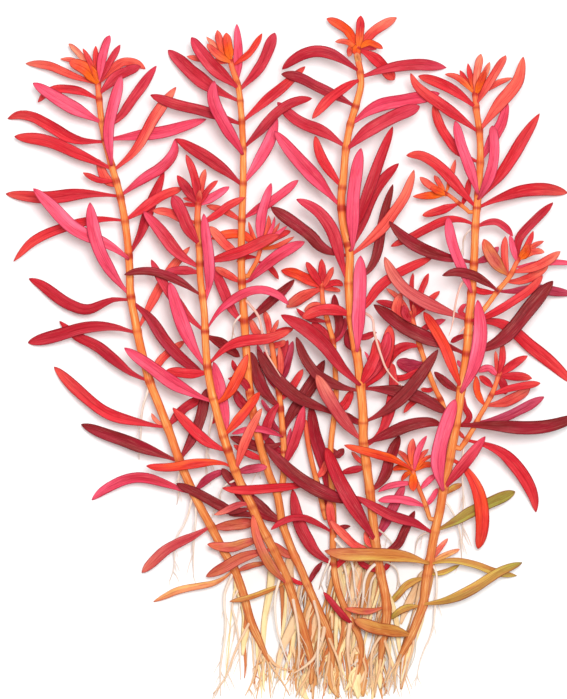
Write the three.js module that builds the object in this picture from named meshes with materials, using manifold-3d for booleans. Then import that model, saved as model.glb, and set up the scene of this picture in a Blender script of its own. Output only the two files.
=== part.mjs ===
// A clump of red stem plant picked and laid down: leafy stems, side shoots, leaves and water roots.
// Millimetres. +Y runs from the cut feet to the growing tips, +X to the right, +Z up off the table.
import * as THREE from 'three';
import { mergeVertices } from 'three/addons/utils/BufferGeometryUtils.js';
import Module from 'manifold-3d';

const solidKit = await Module();
solidKit.setup();
const { Manifold, Mesh: SolidMesh } = solidKit;

// Sizes shared by every leaf and stem.
const LEAF_HALF_THICK = 0.4;
const LEAF_SHAPE = [[0.0, 0.0], [0.1, 0.34], [0.33, 0.86], [0.6, 1.0], [0.85, 0.66], [1.0, 0.0]];
const FUSED_LEAF_SHAPE = [[0.0, 0.0], [0.002, 0.3], [0.42, 1.0], [0.8, 0.72], [1.0, 0.0]];
const SMALL_LEAF_SHAPE = [[0.0, 0.0], [0.004, 0.36], [0.58, 1.0], [1.0, 0.0]];
const STEM_SIDES = 5;
const ROOT_SIDES = 3;
const STEM_STEP = 9.5;
const END_STATIONS = 4;
const SMALL_LEAF = 9.5;
const ROOTED_DEPTH = 0.35;
const SIMPLIFY = 0.09;
const JOINT_GAP = 0.3;
const CLEARANCE = 0.35;
const GRID = 0.5;
const FLOOR = 0.0;
const FLOOR_CONTACT = -90;
const LIFTS = [0, 1, -1, 2, -2, 3, -3, 4, -4, 5, -5, 6, -6, 8, -8, 10, -10, 12, -12, 15, -15];
const ARCHES = [0, 1, -1, 2, -2, 3.5, -3.5, 5, -5];

const TINTS = {
  pink: 0xf0607a, rose: 0xe04a66, red: 0xd8323e, scarlet: 0xea4030, crimson: 0xbe2a40, wine: 0x961e34,
  maroon: 0x7c2028, coral: 0xf07058, salmon: 0xf09678, orange: 0xf0601e, terracotta: 0xca5a40,
  dusty: 0xc65a5a, mauve: 0xb04458, ochre: 0xc4843c, olive: 0xb89850, stem: 0xf08040, root: 0xe8cdb4,
};

// Stems: radius, then centre line points x, y, z from the growing tip down to the foot or the joint.
const STEMS = {
  a: [0.95, [[-41, 60, 8], [-40.5, 54, 8.5], [-39.7, 48, 9], [-37.7, 40, 9.5], [-36, 34, 10],
    [-34.6, 26, 10], [-33.9, 18, 10], [-33.7, 12.5, 10], [-32.4, 5, 10], [-31.1, -1, 10], [-29.3, -7.5, 10],
    [-27.5, -12, 9.5], [-25.2, -18, 9], [-22.9, -24.5, 8.5], [-20.2, -30.8, 8], [-18.3, -34.8, 7],
    [-16, -39, 6], [-13.3, -44.3, 5], [-10.8, -48.7, 4], [-9, -53.5, 3], [-7.2, -60, 2],
    [-4.8, -65.5, 1.4], [-3.2, -69, 1.2]]],
  b: [0.9, [[-12, 65, 10], [-11.3, 62, 10.5], [-10, 58, 11], [-9.3, 52, 12], [-8.9, 44, 12], [-8.9, 36, 12],
    [-9.2, 27, 12], [-9.3, 19.7, 12], [-9, 12, 12], [-8.6, 6, 12], [-8.2, 0, 12], [-7.7, -7, 11.5],
    [-7.1, -11.5, 11], [-6.3, -16, 10.5], [-5.3, -20.3, 10], [-4.3, -24, 9], [-3, -28, 8], [-1.4, -31.9, 7],
    [-0.8, -35, 6.5], [-0.3, -38.2, 6], [0.8, -41.4, 5.5], [2.2, -45, 5], [3.8, -48.4, 4.5], [5.3, -52, 4],
    [7.2, -56.3, 3.5], [9, -60.3, 3], [10, -63, 2.5], [10.6, -66.6, 1.8], [11, -70.3, 1.3]]],
  c: [1.02, [[16.3, 67.5, 11], [16.4, 64, 11.5], [16.8, 61.5, 12], [17, 58, 12.5], [16.3, 55, 13],
    [14.6, 49, 13.5], [13.6, 43, 14], [13.2, 38, 14], [12.7, 33, 14], [13.2, 27, 14], [14.5, 21.5, 14],
    [14.4, 14.5, 14], [14.9, 7, 14], [15.6, 2, 14], [16.3, -2, 14], [17, -8.5, 13.5], [17.5, -14.5, 13],
    [17.6, -20.3, 12], [18.3, -25.7, 11], [19, -31, 10], [19.5, -35.4, 9], [20.1, -41.3, 8],
    [20.8, -46, 7], [21.4, -49.3, 6], [22.5, -54.5, 5], [22.8, -58.5, 4], [22, -63.5, 2.8],
    [21.3, -70, 1.3]]],
  d: [1.0, [[42.2, 57.5, 10], [42.4, 53, 11], [43.1, 48, 12], [43.3, 42, 12.5], [42.9, 35, 13],
    [42.5, 31, 13], [42.2, 27, 13], [41.9, 19.3, 13], [41.3, 11.5, 13], [40.8, 6.3, 13], [40.3, -1, 13],
    [39.1, -8.6, 12.5], [38.5, -13, 12], [37.9, -17, 11.5], [37, -22, 11], [36, -27, 10], [35.1, -31.5, 9],
    [34.4, -35.8, 8], [33.4, -40, 7], [32.2, -47, 5.5], [31.3, -52, 4.5], [30.9, -56, 3.5], [29.5, -60, 2.8],
    [28, -63.6, 2], [26.5, -66.5, 1.5], [25, -69.3, 1.2]]],
  e: [0.98, [[-18.6, 33.2, 15], [-18.9, 29, 15.5], [-18.5, 22.6, 16], [-18.3, 16.2, 16], [-17.4, 8, 16],
    [-17.1, 1, 16], [-16.6, -4.7, 15.5], [-15.7, -9.8, 15], [-15.1, -12, 14.8], [-13.8, -17, 14],
    [-12.2, -22.2, 13], [-10.7, -26.4, 12], [-9.2, -30, 11], [-7.2, -34, 10], [-5.3, -38.2, 9],
    [-3.3, -42, 8], [-1.3, -46, 7], [0.4, -49.6, 6], [1.5, -53, 5], [3, -57.5, 4], [4.3, -61.5, 3],
    [5.4, -65.5, 2.2], [6.2, -70, 1.6], [6, -74, 1.2]]],
  i: [0.75, [[8.4, 15, 6.5], [8.7, 10.5, 7], [9.8, 6, 7], [10.9, 2, 7], [11.3, -3, 7], [11.6, -10, 7],
    [11.2, -14.5, 7], [10.5, -20.5, 6.5], [10.4, -26, 6], [10.8, -32, 5.5], [11, -38, 5], [10.9, -44, 4.5],
    [11.2, -49, 4], [12, -53, 3.5], [13.3, -56.5, 3], [15, -60, 2.5], [16.7, -63.5, 2], [17.2, -67.5, 1.5],
    [16.4, -71.8, 1.2]]],
  s: [0.78, [[4.8, -15.5, 5.5], [5.3, -20, 5.5], [6.3, -25, 5.3], [7.3, -29, 5], [8.4, -33.5, 4.8],
    [9.6, -38.5, 4.7], [10.6, -42.5, 4.6]]],
  p: [0.86, [[-3.4, 4, 6.5], [-2.5, 0.5, 6.8], [-2, -3, 6.8], [-1.2, -8, 6.5], [-0.6, -13, 6.2],
    [-0.1, -19, 6], [0.2, -25, 6], [-0.2, -29.3, 6.4], [-0.9, -33, 6.6]]],
  j: [0.75, [[28, 8.5, 6.5], [28.9, 5, 7], [29.8, 1.5, 7], [30.8, -1.5, 7], [32, -5, 7], [33.5, -8.8, 7.5],
    [34.9, -11.7, 8.2], [36, -15.5, 9.5], [36.9, -20.5, 10.8]]],
  k: [0.7, [[-4.8, 23.5, 8.5], [-5.8, 19.7, 9.3], [-7.3, 17, 10.6], [-8.8, 14, 12]]],
  d1: [0.6, [[34.4, 34.8, 10], [36.2, 34.1, 10.5], [38.8, 32, 11.5], [40.8, 30.2, 12.3], [42.3, 28, 13]]],
  d2: [0.75, [[52.6, 21.2, 12], [51.3, 19.2, 12.5], [49.7, 16, 13], [47.1, 12.9, 13], [45, 10, 13],
    [42.9, 7.4, 13], [40.9, 5, 13]]],
  d3: [0.75, [[47.8, -4.5, 10], [47, -6.8, 10.4], [46.1, -9.3, 10.8], [44.6, -12.2, 11], [43, -15, 11],
    [41.7, -17.5, 11], [40.2, -20, 11], [38.5, -22.3, 11], [36.7, -24.8, 10.6]]],
  d4: [0.7, [[28.3, -25.3, 7.2], [28.8, -27.8, 7.4], [29.6, -30, 7.6], [30.5, -32.2, 7.7],
    [31.5, -34.9, 7.6], [32.3, -37.5, 7.2], [33.3, -40.5, 6.9]]],
};

// The stem that each side shoot grows from, so its foot can stop a joint gap away.
const GROWS_FROM = { s: 'i', p: 'b', j: 'd', k: 'b', d1: 'd', d2: 'd', d3: 'd', d4: 'd' };

// Leaves by stem, back to front: [own part or 0 fused, tint, width, tip lift, arch, points from the base].
// A tip lift of FLOOR_CONTACT lets the tip droop to the table.
const LEAVES = {
  i: [
    [0, 'scarlet', 2.4, -5, 0, [8, 14.8, 3, 16.6, -0.5, 17.5]],
    [0, 'red', 1.8, 2, 0, [7.9, 15.3, 5, 19.3]],
    [0, 'red', 1.8, -2, 0, [8.3, 15.3, 8.4, 20]],
    [0, 'coral', 1.4, 1, 0, [8.5, 15, 11, 18.2]],
    [0, 'red', 1.5, -2, 0, [8.8, 14.5, 11.5, 14.8, 13.2, 14.1]],
    [0, 'coral', 1.2, -3, 0, [8.8, 14, 10.4, 13.4, 12.6, 12.9]],
    [0, 'coral', 2.6, -5, 1, [8.2, 14, 4.8, 12, 0.7, 9.3]],
    [0, 'coral', 1.8, -5, 0, [8.8, 9.6, 6.8, 9.6, 4.6, 8.6]],
    [0, 'maroon', 2.0, -4, 0, [11.2, 2, 12.4, 5, 11.5, 9, 11.2, 12.2]],
    [0, 'rose', 1.9, -4, 0, [11.3, 1, 12.6, 3.5, 13.6, 7]],
    [0, 'crimson', 1.3, -2, 0, [8.5, 6, 5.4, 6.9, 2.8, 9.1]],
    [0, 'crimson', 2.6, -1, 0, [10.9, 1, 8.9, 3.2, 6.3, 6]],
    [0, 'maroon', 3.0, 0, 1, [11.1, -14.2, 8, -12.7, 4.1, -11.1, 0.1, -8, -3.4, -4.1, -5.8, 0.1]],
    [0, 'red', 2.2, 1, 0, [11.5, -14, 13.3, -12.3, 15.2, -8.8]],
    [0, 'maroon', 1.8, 0, 0, [10.4, -21.6, 11.8, -23.4, 13.3, -21.8]],
    [0, 'crimson', 2.8, 0, 1, [10.7, -47.6, 7.4, -45, 5, -41.5, 3.2, -37.5, 2, -30.8]],
    [0, 'coral', 2.0, 0, 0, [10.9, -40.1, 10.4, -36.4, 10, -32.9]],
    [0, 'maroon', 1.2, -1, 0, [10.9, -40.6, 12.9, -39.3, 14.8, -39]],
    [0, 'crimson', 1.6, 5, 1, [10.7, -40.6, 7.6, -38.4, 4.3, -37.1, 0.6, -37.5, -2.8, -39.7]],
    [0, 'red', 1.4, 0, 0, [11.2, -48.2, 12.6, -46.9, 14, -46]],
    [0, 'crimson', 1.5, 2, 0, [15.3, -60.8, 13, -58.6, 10.9, -56, 8.8, -53.5]],
  ],
  s: [
    [0, 'maroon', 2.8, 3, 1, [9.6, -35.8, 9.8, -29.1, 8.5, -23.9, 6.9, -18.8, 6, -12.2]],
    [0, 'red', 2.1, 10, 1, [7.4, -29.6, 0, -30.3, -5, -30.7, -10, -30.9, -13.5, -30.4]],
    [0, 'coral', 1.6, -2, 0, [7.2, -28.4, 8.7, -26.8, 9.4, -24.4]],
  ],
  p: [
    [0, 'coral', 1.8, -1, 0, [-3.4, 2.5, -5.6, 3.4, -7.4, 6.9]],
    [0, 'coral', 1.5, -2, 0, [-3.4, 4.1, -3.4, 6, -4.3, 8.7]],
    [0, 'coral', 1.0, 0, 0, [-3.2, 4.2, -1.9, 4.9, -1.1, 6.6]],
    [0, 'red', 1.8, -2, 0, [-3.3, 3.7, -1, 3.7, 2.2, 4.6]],
    [0, 'coral', 1.6, -1, 0, [-2.6, 1, -0.5, 1.2, 0.4, 2]],
    [0, 'crimson', 1.9, -2, 0, [-1.6, -5.2, -0.6, -1.9, 1, 2.1]],
    [0, 'mauve', 2.2, -3, 0, [-1.2, -8, 0.3, -4.3, 2.1, 1.9]],
    [0, 'crimson', 1.6, -2, 0, [-1.4, -6.6, -2, -4.5, -4.4, -0.4]],
    [0, 'maroon', 2.7, 2, 1, [-0.8, -12.8, -4, -9.5, -6, -5, -7.2, -0.5]],
    [0, 'red', 1.8, 0, 0, [-0.6, -11.1, 1.6, -8.7, 4.3, -4.3]],
    [0, 'mauve', 1.1, -2, 0, [-0.5, -13.5, -3, -13.6, -4.9, -11]],
    [0, 'crimson', 2.2, -2, 0, [-0.8, -11.8, -2.5, -13.8, -3.6, -16.6, -4.3, -20.1]],
    ['leaf_p_1', 'rose', 1.5, 3, 3.5, [-0.3, -19.2, -3, -18.1, -6.9, -17.4, -11.4, -18.6]],
    [0, 'maroon', 2.2, 3, 1, [-0.1, -20.4, -4.1, -21.7, -8, -20.6, -11.8, -19.2]],
    [0, 'maroon', 2.9, 0, 0.5, [-0.1, -19, 1, -15.5, 3.6, -11.6, 6.5, -7.2, 9.1, -2.3]],
    [0, 'crimson', 2.4, 2, 1, [0.1, -26.1, 1.6, -22.3, 3.2, -17.9, 4.5, -12.4]],
  ],
  k: [
    [0, 'coral', 1.0, -2, 0, [-5, 23.4, -6.9, 25.5, -7.7, 28.2]],
    [0, 'coral', 1.3, -3, 0, [-4.5, 23.8, -3.4, 26.5, -3.3, 29.6]],
    [0, 'pink', 1.0, 0, 0, [-4.5, 23.8, -2.6, 26.5, -1.9, 29.3]],
    [0, 'coral', 1.0, -3, 0, [-4.4, 23.7, -2.2, 25.7, -0.8, 28]],
    [0, 'pink', 1.0, 2, 0, [-4.4, 23.6, -1.5, 25.4, 0.9, 27.2]],
    [0, 'red', 1.7, -1, 0, [-4.5, 23.4, -1.5, 24.9, 1.6, 26.1]],
    [0, 'coral', 1.1, -4, 0, [-5, 21.9, -1.5, 22.8, 2.4, 24.9]],
    [0, 'red', 1.3, -5, 0, [-5.8, 19.7, -2.8, 17.9, -1.1, 15.5]],
    [0, 'red', 1.0, -3, 0, [-5.8, 20.2, -8, 20.4, -10.4, 19.3]],
    [0, 'orange', 2.1, 5, 4, [-5.2, 23.6, -9, 25.3, -12.5, 25.3, -15.9, 24.4]],
    [0, 'pink', 2.2, 6, 1, [-5.4, 23.2, -4.9, 29, -2.7, 36.6]],
  ],
  j: [
    [0, 'red', 1.1, -3, 0, [28.2, 9.5, 28.2, 13, 28.6, 16.9]],
    [0, 'red', 1.5, -1, 0, [28.3, 9.3, 30.2, 12.6, 32, 16.8]],
    [0, 'red', 1.6, -4, 0, [28.4, 8.8, 31.8, 10.4, 34.5, 12.9]],
    [0, 'coral', 2.2, 1, 0, [28.5, 5.4, 25.4, 6.9, 24.8, 9.1, 26.1, 12.7]],
    [0, 'coral', 1.2, 0, 0, [28.3, 9.6, 25.4, 11.3, 22.6, 13.5]],
    [0, 'crimson', 1.8, -2, 0, [27.8, 7.8, 24.5, 9.6, 20.4, 10.7]],
    [0, 'crimson', 1.8, -2, 0, [28.6, 6.4, 27, 7.4, 26.5, 9.8]],
    [0, 'coral', 1.0, 2, 0, [28.2, 6.6, 28.9, 8.3, 28.4, 10]],
    [0, 'crimson', 1.5, -4, 0, [29.3, 3.5, 32.5, 5.4, 35.8, 6.6]],
    [0, 'red', 2.2, -4, 1, [29.9, 0.7, 27.4, 0.8, 24.4, -0.5, 23, -3.6]],
    [0, 'mauve', 3.1, -5, 0, [31.3, -3.1, 28.5, -3.6, 25, -2.8]],
    [0, 'red', 1.5, -5, 0, [31.5, -3.8, 28, -5.4, 24.9, -6.8, 24.3, -3.2]],
    [0, 'red', 1.1, -3, 0, [33.4, -8.5, 32, -9, 30.3, -8.7]],
    [0, 'red', 1.5, -4, 0, [34.6, -11.3, 29.5, -10.8, 26.5, -14]],
  ],
  a: [
    [0, 'red', 2.0, -3, 1, [-40.6, 54.8, -44.5, 56.8, -48, 57.4, -51.5, 57, -54.2, 54.5]],
    [0, 'crimson', 1.6, -4, 0, [-41, 60, -38.5, 63, -36, 67.3]],
    [0, 'crimson', 1.3, -5, 0, [-41.2, 60.5, -40.8, 63.5, -40, 66.6]],
    [0, 'red', 1.4, -2, 0, [-41.1, 60.3, -41.4, 64, -41.4, 67]],
    [0, 'salmon', 1.5, -5, 0, [-41.3, 60.2, -44, 64, -47.4, 67.5]],
    [0, 'red', 1.3, -1, 0, [-41.2, 60.3, -42.6, 63.3, -44.2, 66.3]],
    [0, 'coral', 1.3, -6, 0, [-41.3, 60.2, -45.5, 63.4, -49.3, 64.2]],
    [0, 'coral', 1.9, -90, 1, [-41, 58.5, -47, 60.6, -52, 62.7, -57, 63.2]],
    [0, 'pink', 2.0, -3, 0, [-41, 60.4, -39.6, 65.8, -38.3, 69.3]],
    [0, 'coral', 2.0, -90, 0, [-40.9, 59.6, -36.5, 62.8, -33.8, 63.7, -30.5, 62]],
    [0, 'crimson', 2.4, -4, 1, [-40.7, 56, -36.5, 60.3, -31.5, 62.5]],
    [0, 'orange', 3.0, 1, 1, [-41, 59.3, -43.5, 61.8, -47.2, 63.3]],
    [0, 'coral', 1.8, 1, 0, [-41, 59.5, -42, 61.6, -43.4, 63.4]],
    [0, 'crimson', 2.3, -3, 1, [-39.8, 49, -37, 50.3, -33, 55.5, -28, 62.6]],
    [0, 'rose', 2.6, -3, 1, [-39.2, 46, -33, 47, -26, 48, -17, 50.8]],
    [0, 'red', 2.2, -3, 0, [-36.6, 36, -39, 37.4, -40.9, 42]],
    [0, 'red', 1.4, -4, 0, [-37, 37, -40.5, 37.2, -44.2, 39]],
    [0, 'coral', 2.5, 2, 1, [-37.4, 39.3, -32.5, 44, -28.5, 51, -23.6, 57.8]],
    [0, 'rose', 2.4, -2, 1, [-35.9, 33.8, -31, 37.5, -27, 40, -24.3, 43, -23.8, 46.5]],
    [0, 'red', 2.2, -6, 0, [-34.9, 28.2, -40, 28.7, -48, 27, -55, 24, -59.6, 19.4]],
    [0, 'red', 2.3, -2, 1, [-34.9, 28.2, -31.8, 30.4, -27.5, 33.4, -22.3, 35.6]],
    [0, 'crimson', 2.4, -4, 0, [-34.1, 20.5, -31.5, 25.5, -29.8, 30.5, -28, 35, -26.3, 39.3]],
    [0, 'coral', 2.1, -5, 0, [-32.3, 4, -29.7, 9, -25, 17.4, -20.6, 22.7]],
    [0, 'wine', 2.7, -2, 0, [-33.5, 10.6, -29.5, 7, -26.5, 2.5, -23.5, -1, -20.5, -3.5, -18, -4.8]],
    [0, 'coral', 1.9, -5, 0, [-29.5, -6.8, -27, -2.2, -24, 0.3, -21.8, 1.9]],
    [0, 'wine', 2.5, -8, 1, [-29.4, -7.1, -33.5, -5.2, -37.5, -2, -41.5, 1, -46, 3.2, -49.5, 6.3]],
    [0, 'crimson', 2.2, -3, 0, [-25.5, -17.2, -22.5, -13.5, -19.5, -11.4, -17.6, -10.8]],
    [0, 'maroon', 2.5, -2, 0, [-22.9, -24.6, -19.8, -19, -18, -14, -17, -8.6]],
    [0, 'mauve', 1.8, -5, 0, [-19.9, -31.4, -16, -28, -12.9, -26.8]],
    [0, 'dusty', 2.4, -4, 1, [-16, -39, -20, -41.2, -25.5, -44, -31.3, -49.3]],
    [0, 'terracotta', 2.5, -3, 0, [-15.9, -39.3, -11.6, -38.8, -6, -38]],
    [0, 'coral', 1.0, -2, 0, [-26.3, -17.3, -28.1, -15.7, -29.1, -14]],
    [0, 'ochre', 1.6, -90, 1, [-11, -48.5, -14, -51, -18.5, -52.2, -23, -53.1, -28.8, -55.8]],
    [0, 'terracotta', 1.3, -1, 0, [-10.6, -49, -7.5, -47.8, -3.2, -47]],
    [0, 'red', 2.6, -90, 1, [-39.3, 45.8, -46, 46.2, -52, 49.5, -57, 51.8, -61, 51]],
    [0, 'red', 2.7, -6, 1, [-37.6, 39.7, -45, 43, -52, 46, -59.4, 47]],
    ['leaf_a_3', 'red', 2.8, -90, 2, [-36, 33.8, -44, 34.3, -52, 33.5, -61.4, 34.4]],
    ['leaf_a_4', 'pink', 3.0, 4, 2, [-34.1, 20, -38.5, 23, -46, 26.5, -51.5, 32, -55, 35.4]],
    ['leaf_a_5', 'crimson', 2.6, -90, 0, [-33.6, 11, -38, 10.9, -43.5, 8.8, -49, 11, -53, 14, -56.3, 15.7]],
    ['leaf_a_6', 'crimson', 2.8, -90, 2, [-32.2, 3.6, -37.5, 4.9, -43.5, 4.8, -50, 3, -56.5, 1.5]],
    ['leaf_a_7', 'red', 2.7, -90, 1, [-25.6, -17.3, -31.4, -16.1, -38.5, -14.2, -44.5, -9.8, -50.7, -3.8]],
    ['leaf_a_8', 'maroon', 2.9, -6, 1, [-22.9, -24.7, -29, -22.3, -34, -20.4, -40, -18.3, -44.7, -16.5]],
    ['leaf_a_9', 'rose', 2.5, -90, 1, [-19.8, -32, -26, -29.6, -31, -28.3, -35, -28.8, -39.5, -31,
      -42.4, -33.3]],
    [0, 'pink', 3.0, 1, 2, [-40.1, 50, -48, 54.2, -55.2, 58.7]],
    ['leaf_a_11', 'pink', 2.9, 7, 1, [-33.6, 11.5, -37.5, 16.5, -40.5, 22, -42, 28, -42.5, 32.3]],
    ['leaf_a_12', 'pink', 2.6, 6, 2, [-37.8, 40.5, -38.5, 48, -35.6, 60.2]],
  ],
  b: [
    [0, 'coral', 1.4, -3, 0, [-11.6, 63, -16, 63.6, -21.3, 64.6]],
    [0, 'coral', 1.4, -4, 0, [-12, 64, -14.3, 66, -17, 69]],
    [0, 'scarlet', 1.5, -3, 0, [-11.4, 62.4, -7.4, 65.4, -4.7, 69.7]],
    [0, 'coral', 1.8, -3, 0, [-12, 64, -13.7, 66.6, -14.6, 70.4]],
    [0, 'red', 1.8, 0, 0, [-11.6, 63, -14.4, 64.8, -16.8, 67.3]],
    [0, 'pink', 2.1, -4, 0, [-10.3, 58.5, -10, 65.5, -10.3, 71.8]],
    [0, 'orange', 2.2, 1, 0, [-11.8, 63.6, -12.2, 66.5, -12.6, 69.7]],
    [0, 'crimson', 2.5, -90, 1, [-9.8, 57, -5, 62.6, -1.9, 70]],
    [0, 'crimson', 3.0, -3, 1, [-9.9, 57.5, -16, 62.8, -20.3, 68.7]],
    [0, 'red', 2.3, -4, 1, [-9.2, 50, -4.5, 54.3, 0, 58, 4.8, 62.4]],
    [0, 'crimson', 2.3, -2, 1, [-9, 44.2, -5, 48.2, -1, 52.5, 2.5, 54.5, 6.3, 55.3]],
    [0, 'pink', 2.6, -2, 1, [-8.9, 36.3, -5.4, 41.6, -2.8, 46.6, -1.5, 51.5]],
    [0, 'coral', 1.6, -4, 0, [-9.2, 28.4, -13, 30.5, -17, 31.7]],
    [0, 'crimson', 2.1, -3, 0, [-9.2, 28.6, -6, 30.7, -2.5, 32.7, 0.5, 35, 3.3, 37.3]],
    [0, 'coral', 2.2, -5, 0, [-9.3, 20.3, -12.5, 22.8, -16.3, 27.1]],
    [0, 'coral', 1.8, -4, 0, [-9.1, 14.8, -12.5, 16.6, -15.3, 18.2]],
    [0, 'crimson', 2.4, -4, 0, [-8.6, 5.6, -11.2, 8.5, -13, 12.5, -15.4, 18]],
    [0, 'maroon', 2.1, -5, 0, [-8.6, 6, -5.5, 8.3, -2.5, 11, 0.3, 13.3, 2.4, 15.4]],
    [0, 'crimson', 1.2, -3, 0, [-7.9, -4, -10.2, -4.6, -11.3, -2.3]],
    [0, 'wine', 2.2, -4, 0, [-6.7, -14, -9.4, -11.6, -10.9, -8.6]],
    [0, 'crimson', 1.8, 2, 0, [-7.4, -9.4, -9, -7, -12.2, -6.4]],
    [0, 'red', 1.6, -4, 0, [-4.2, -24.4, -8, -22.8, -11, -21]],
    [0, 'maroon', 3.0, 7, 1, [-0.8, -38.8, -4.5, -35.8, -7.2, -33.3, -10.9, -31.6]],
    [0, 'terracotta', 1.8, -2, 0, [2.6, -46, 0.4, -45, -2.6, -42.6]],
    [0, 'maroon', 1.3, 0, 0, [5.4, -52.2, 6.6, -49.6, 8.6, -46.8]],
    [0, 'red', 1.0, -1, 0, [5.2, -51.8, 3, -51.4, 0.9, -50]],
    ['leaf_b_1', 'rose', 2.6, 2, 1, [-8.1, 14.6, -4, 18.5, 1, 22, 4.7, 23.7]],
    ['leaf_b_2', 'crimson', 3.2, -90, 1, [-9.5, 54.5, -17, 58.4, -25.5, 66.2]],
    [0, 'crimson', 2.5, -1, 1, [-9.2, 49.6, -17.5, 52.4, -24, 54, -29.3, 56]],
    [0, 'crimson', 2.7, -4, 1, [-8.9, 36, -13, 39.5, -18, 43, -23.8, 46.4]],
    ['leaf_b_5', 'rose', 3.0, 5, 2, [-9, 43, -10.5, 45.5, -13, 49.5, -15.5, 55, -15.2, 59]],
  ],
  c: [
    [0, 'coral', 1.3, -3, 0, [16.3, 67.3, 13.8, 67.8, 11.4, 67.8]],
    [0, 'coral', 1.5, -5, 0, [16.3, 67, 15, 66.4, 14.4, 64.5]],
    [0, 'orange', 1.5, -3, 0, [16.4, 67.3, 18.6, 67.6, 21.9, 66.3]],
    [0, 'orange', 2.2, -6, 0, [16.3, 67.3, 13.8, 70.6, 9.5, 73]],
    [0, 'red', 2.0, -3, 0, [16.4, 67.4, 16.8, 70, 17, 73.5]],
    [0, 'orange', 2.3, -5, 0, [16.4, 67.4, 20, 70.2, 25, 73.2]],
    [0, 'orange', 2.1, 3, 0, [16.3, 68, 16.2, 66.6, 16, 64.6]],
    [0, 'crimson', 1.5, -4, 0, [16.6, 65.5, 18.4, 66.6, 20.5, 66.2]],
    [0, 'coral', 1.6, 2, 0, [16.5, 63, 16.4, 64, 16, 65.3]],
    [0, 'red', 2.6, -5, 1, [16.5, 66, 20, 64.2, 24.4, 59.4]],
    [0, 'wine', 2.4, -4, 1, [16.2, 53.5, 12, 55.5, 7, 58, 3, 60, -0.5, 60.6]],
    [0, 'crimson', 2.7, -4, 1, [13.8, 44.3, 9, 47.8, 3, 50.5, -1.4, 54.5]],
    [0, 'rose', 3.0, -4, 1, [14.5, 49.5, 20, 53.3, 27, 55, 31, 55.7, 34.4, 56.4]],
    [0, 'red', 2.2, -3, 0, [13, 35.5, 10, 39.5, 8, 43, 7, 47]],
    [0, 'wine', 2.4, -4, 1, [14.5, 21.5, 17, 27, 19.5, 33.5, 22, 37.5, 25.4, 41]],
    [0, 'maroon', 2.2, -4, 0, [14.4, 14.4, 18.1, 16.8, 20.4, 20.6, 21.4, 26.1, 22.6, 31.6, 24.1, 36.4]],
    [0, 'crimson', 2.5, 1, 1, [14.2, 23, 17.4, 31, 20.4, 39.6, 24, 49]],
    [0, 'red', 2.3, -4, 1, [15, 6.6, 18.2, 10, 20.3, 13, 23.5, 15.8, 28, 18.2, 33, 20.4]],
    [0, 'red', 2.6, 0, 1, [14.8, 7.2, 11.6, 8.7, 7.6, 8.5, 4.1, 6.9]],
    [0, 'maroon', 2.3, -3, 0, [16, -0.4, 14.6, 1.2, 14.3, 4.6]],
    [0, 'crimson', 1.5, -2, 0, [15.6, 2.6, 18, 2.8, 20.5, 3.8]],
    [0, 'pink', 1.0, -1, 0, [17, -8, 18.9, -2.6, 17.8, -0.4]],
    [0, 'red', 2.6, -2, 1, [17.1, -7.8, 19.2, -3.6, 20.4, -0.3, 20.4, 2.5]],
    [0, 'red', 3.5, -3, 1, [17.3, -8.7, 20.8, -4.7, 22.8, 0.3, 23.4, 5.4]],
    [0, 'maroon', 2.5, -2, 0, [17.3, -8.9, 13.8, -8.5, 10.2, -7.2, 7.4, -5.4, 5, -2.3, 2.8, 2.8]],
    [0, 'maroon', 1.5, -4, 0, [17.4, -16.6, 15, -15.2, 13.2, -13.8]],
    [0, 'red', 2.4, -4, 0, [17.7, -21.2, 21.2, -18.6, 23.4, -13.3, 24.3, -7.8, 23.6, -2.5]],
    [0, 'crimson', 1.6, -3, 0, [18.4, -25.9, 15.3, -26.5, 12.8, -27.2]],
    [0, 'coral', 1.1, -4, 0, [18.3, -25.6, 17, -24.7, 15, -22.5]],
    [0, 'maroon', 2.6, -4, 0, [19, -31.1, 21.9, -28.7, 23.6, -23.9, 25.6, -19]],
    [0, 'maroon', 3.0, -1, 1, [19.2, -33.5, 15.1, -33.3, 11.3, -32.5, 7.6, -30.9, 3.6, -28.5, -0.3, -25.2,
      -4.3, -20.8]],
    [0, 'crimson', 3.2, 1, 1, [20.1, -42.2, 17, -37, 13.7, -31.5, 11, -26, 9.4, -21.6]],
    [0, 'coral', 2.0, -2, 0, [20.6, -45, 16.4, -43.5, 13.1, -40.6, 10.2, -37.5]],
    [0, 'coral', 1.5, -1, 0, [20.4, -43.9, 18.6, -42.4, 18.1, -39.9]],
    [0, 'crimson', 1.4, -3, 0, [21.3, -49, 18.6, -48, 16.2, -46.5]],
    [0, 'crimson', 1.2, -3, 0, [21.4, -49, 22.7, -48, 23.4, -46.6]],
    [0, 'mauve', 2.3, -3, 0, [19.9, -42.4, 22.3, -38.4, 24.5, -34.2, 26.7, -29.8]],
    [0, 'maroon', 2.1, -4, 0, [20.6, -45, 24.5, -43.8, 27, -39.4, 29, -35.6]],
    [0, 'terracotta', 1.5, -1, 0, [23, -56.9, 18.6, -57.8, 13.5, -57.1]],
    [0, 'crimson', 2.5, -3, 3, [16.6, 60.8, 12.5, 64, 8, 65.6, 3.5, 64.6, -0.3, 61.7]],
    [0, 'crimson', 2.6, -90, 1, [16.8, 59.7, 21, 61.3, 26, 62.5, 31, 62.8, 36, 62.3]],
    [0, 'red', 2.3, 1, 2, [17.1, 59.3, 13.5, 57.5, 9.6, 54.5, 6.3, 50.7]],
    ['leaf_c_3', 'maroon', 2.8, -3, 1, [14.5, 20.6, 9, 22, 6, 25, 2, 28, -2.8, 31.3]],
    ['leaf_c_4', 'crimson', 2.8, 3, 1, [14.2, 13.6, 12.5, 20, 10.5, 26.5, 7, 30.8, 2.8, 33]],
    ['leaf_c_5', 'rose', 3.2, 2, 1, [12.7, 31.2, 8, 36.5, 2.5, 42.5, -2, 48]],
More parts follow.
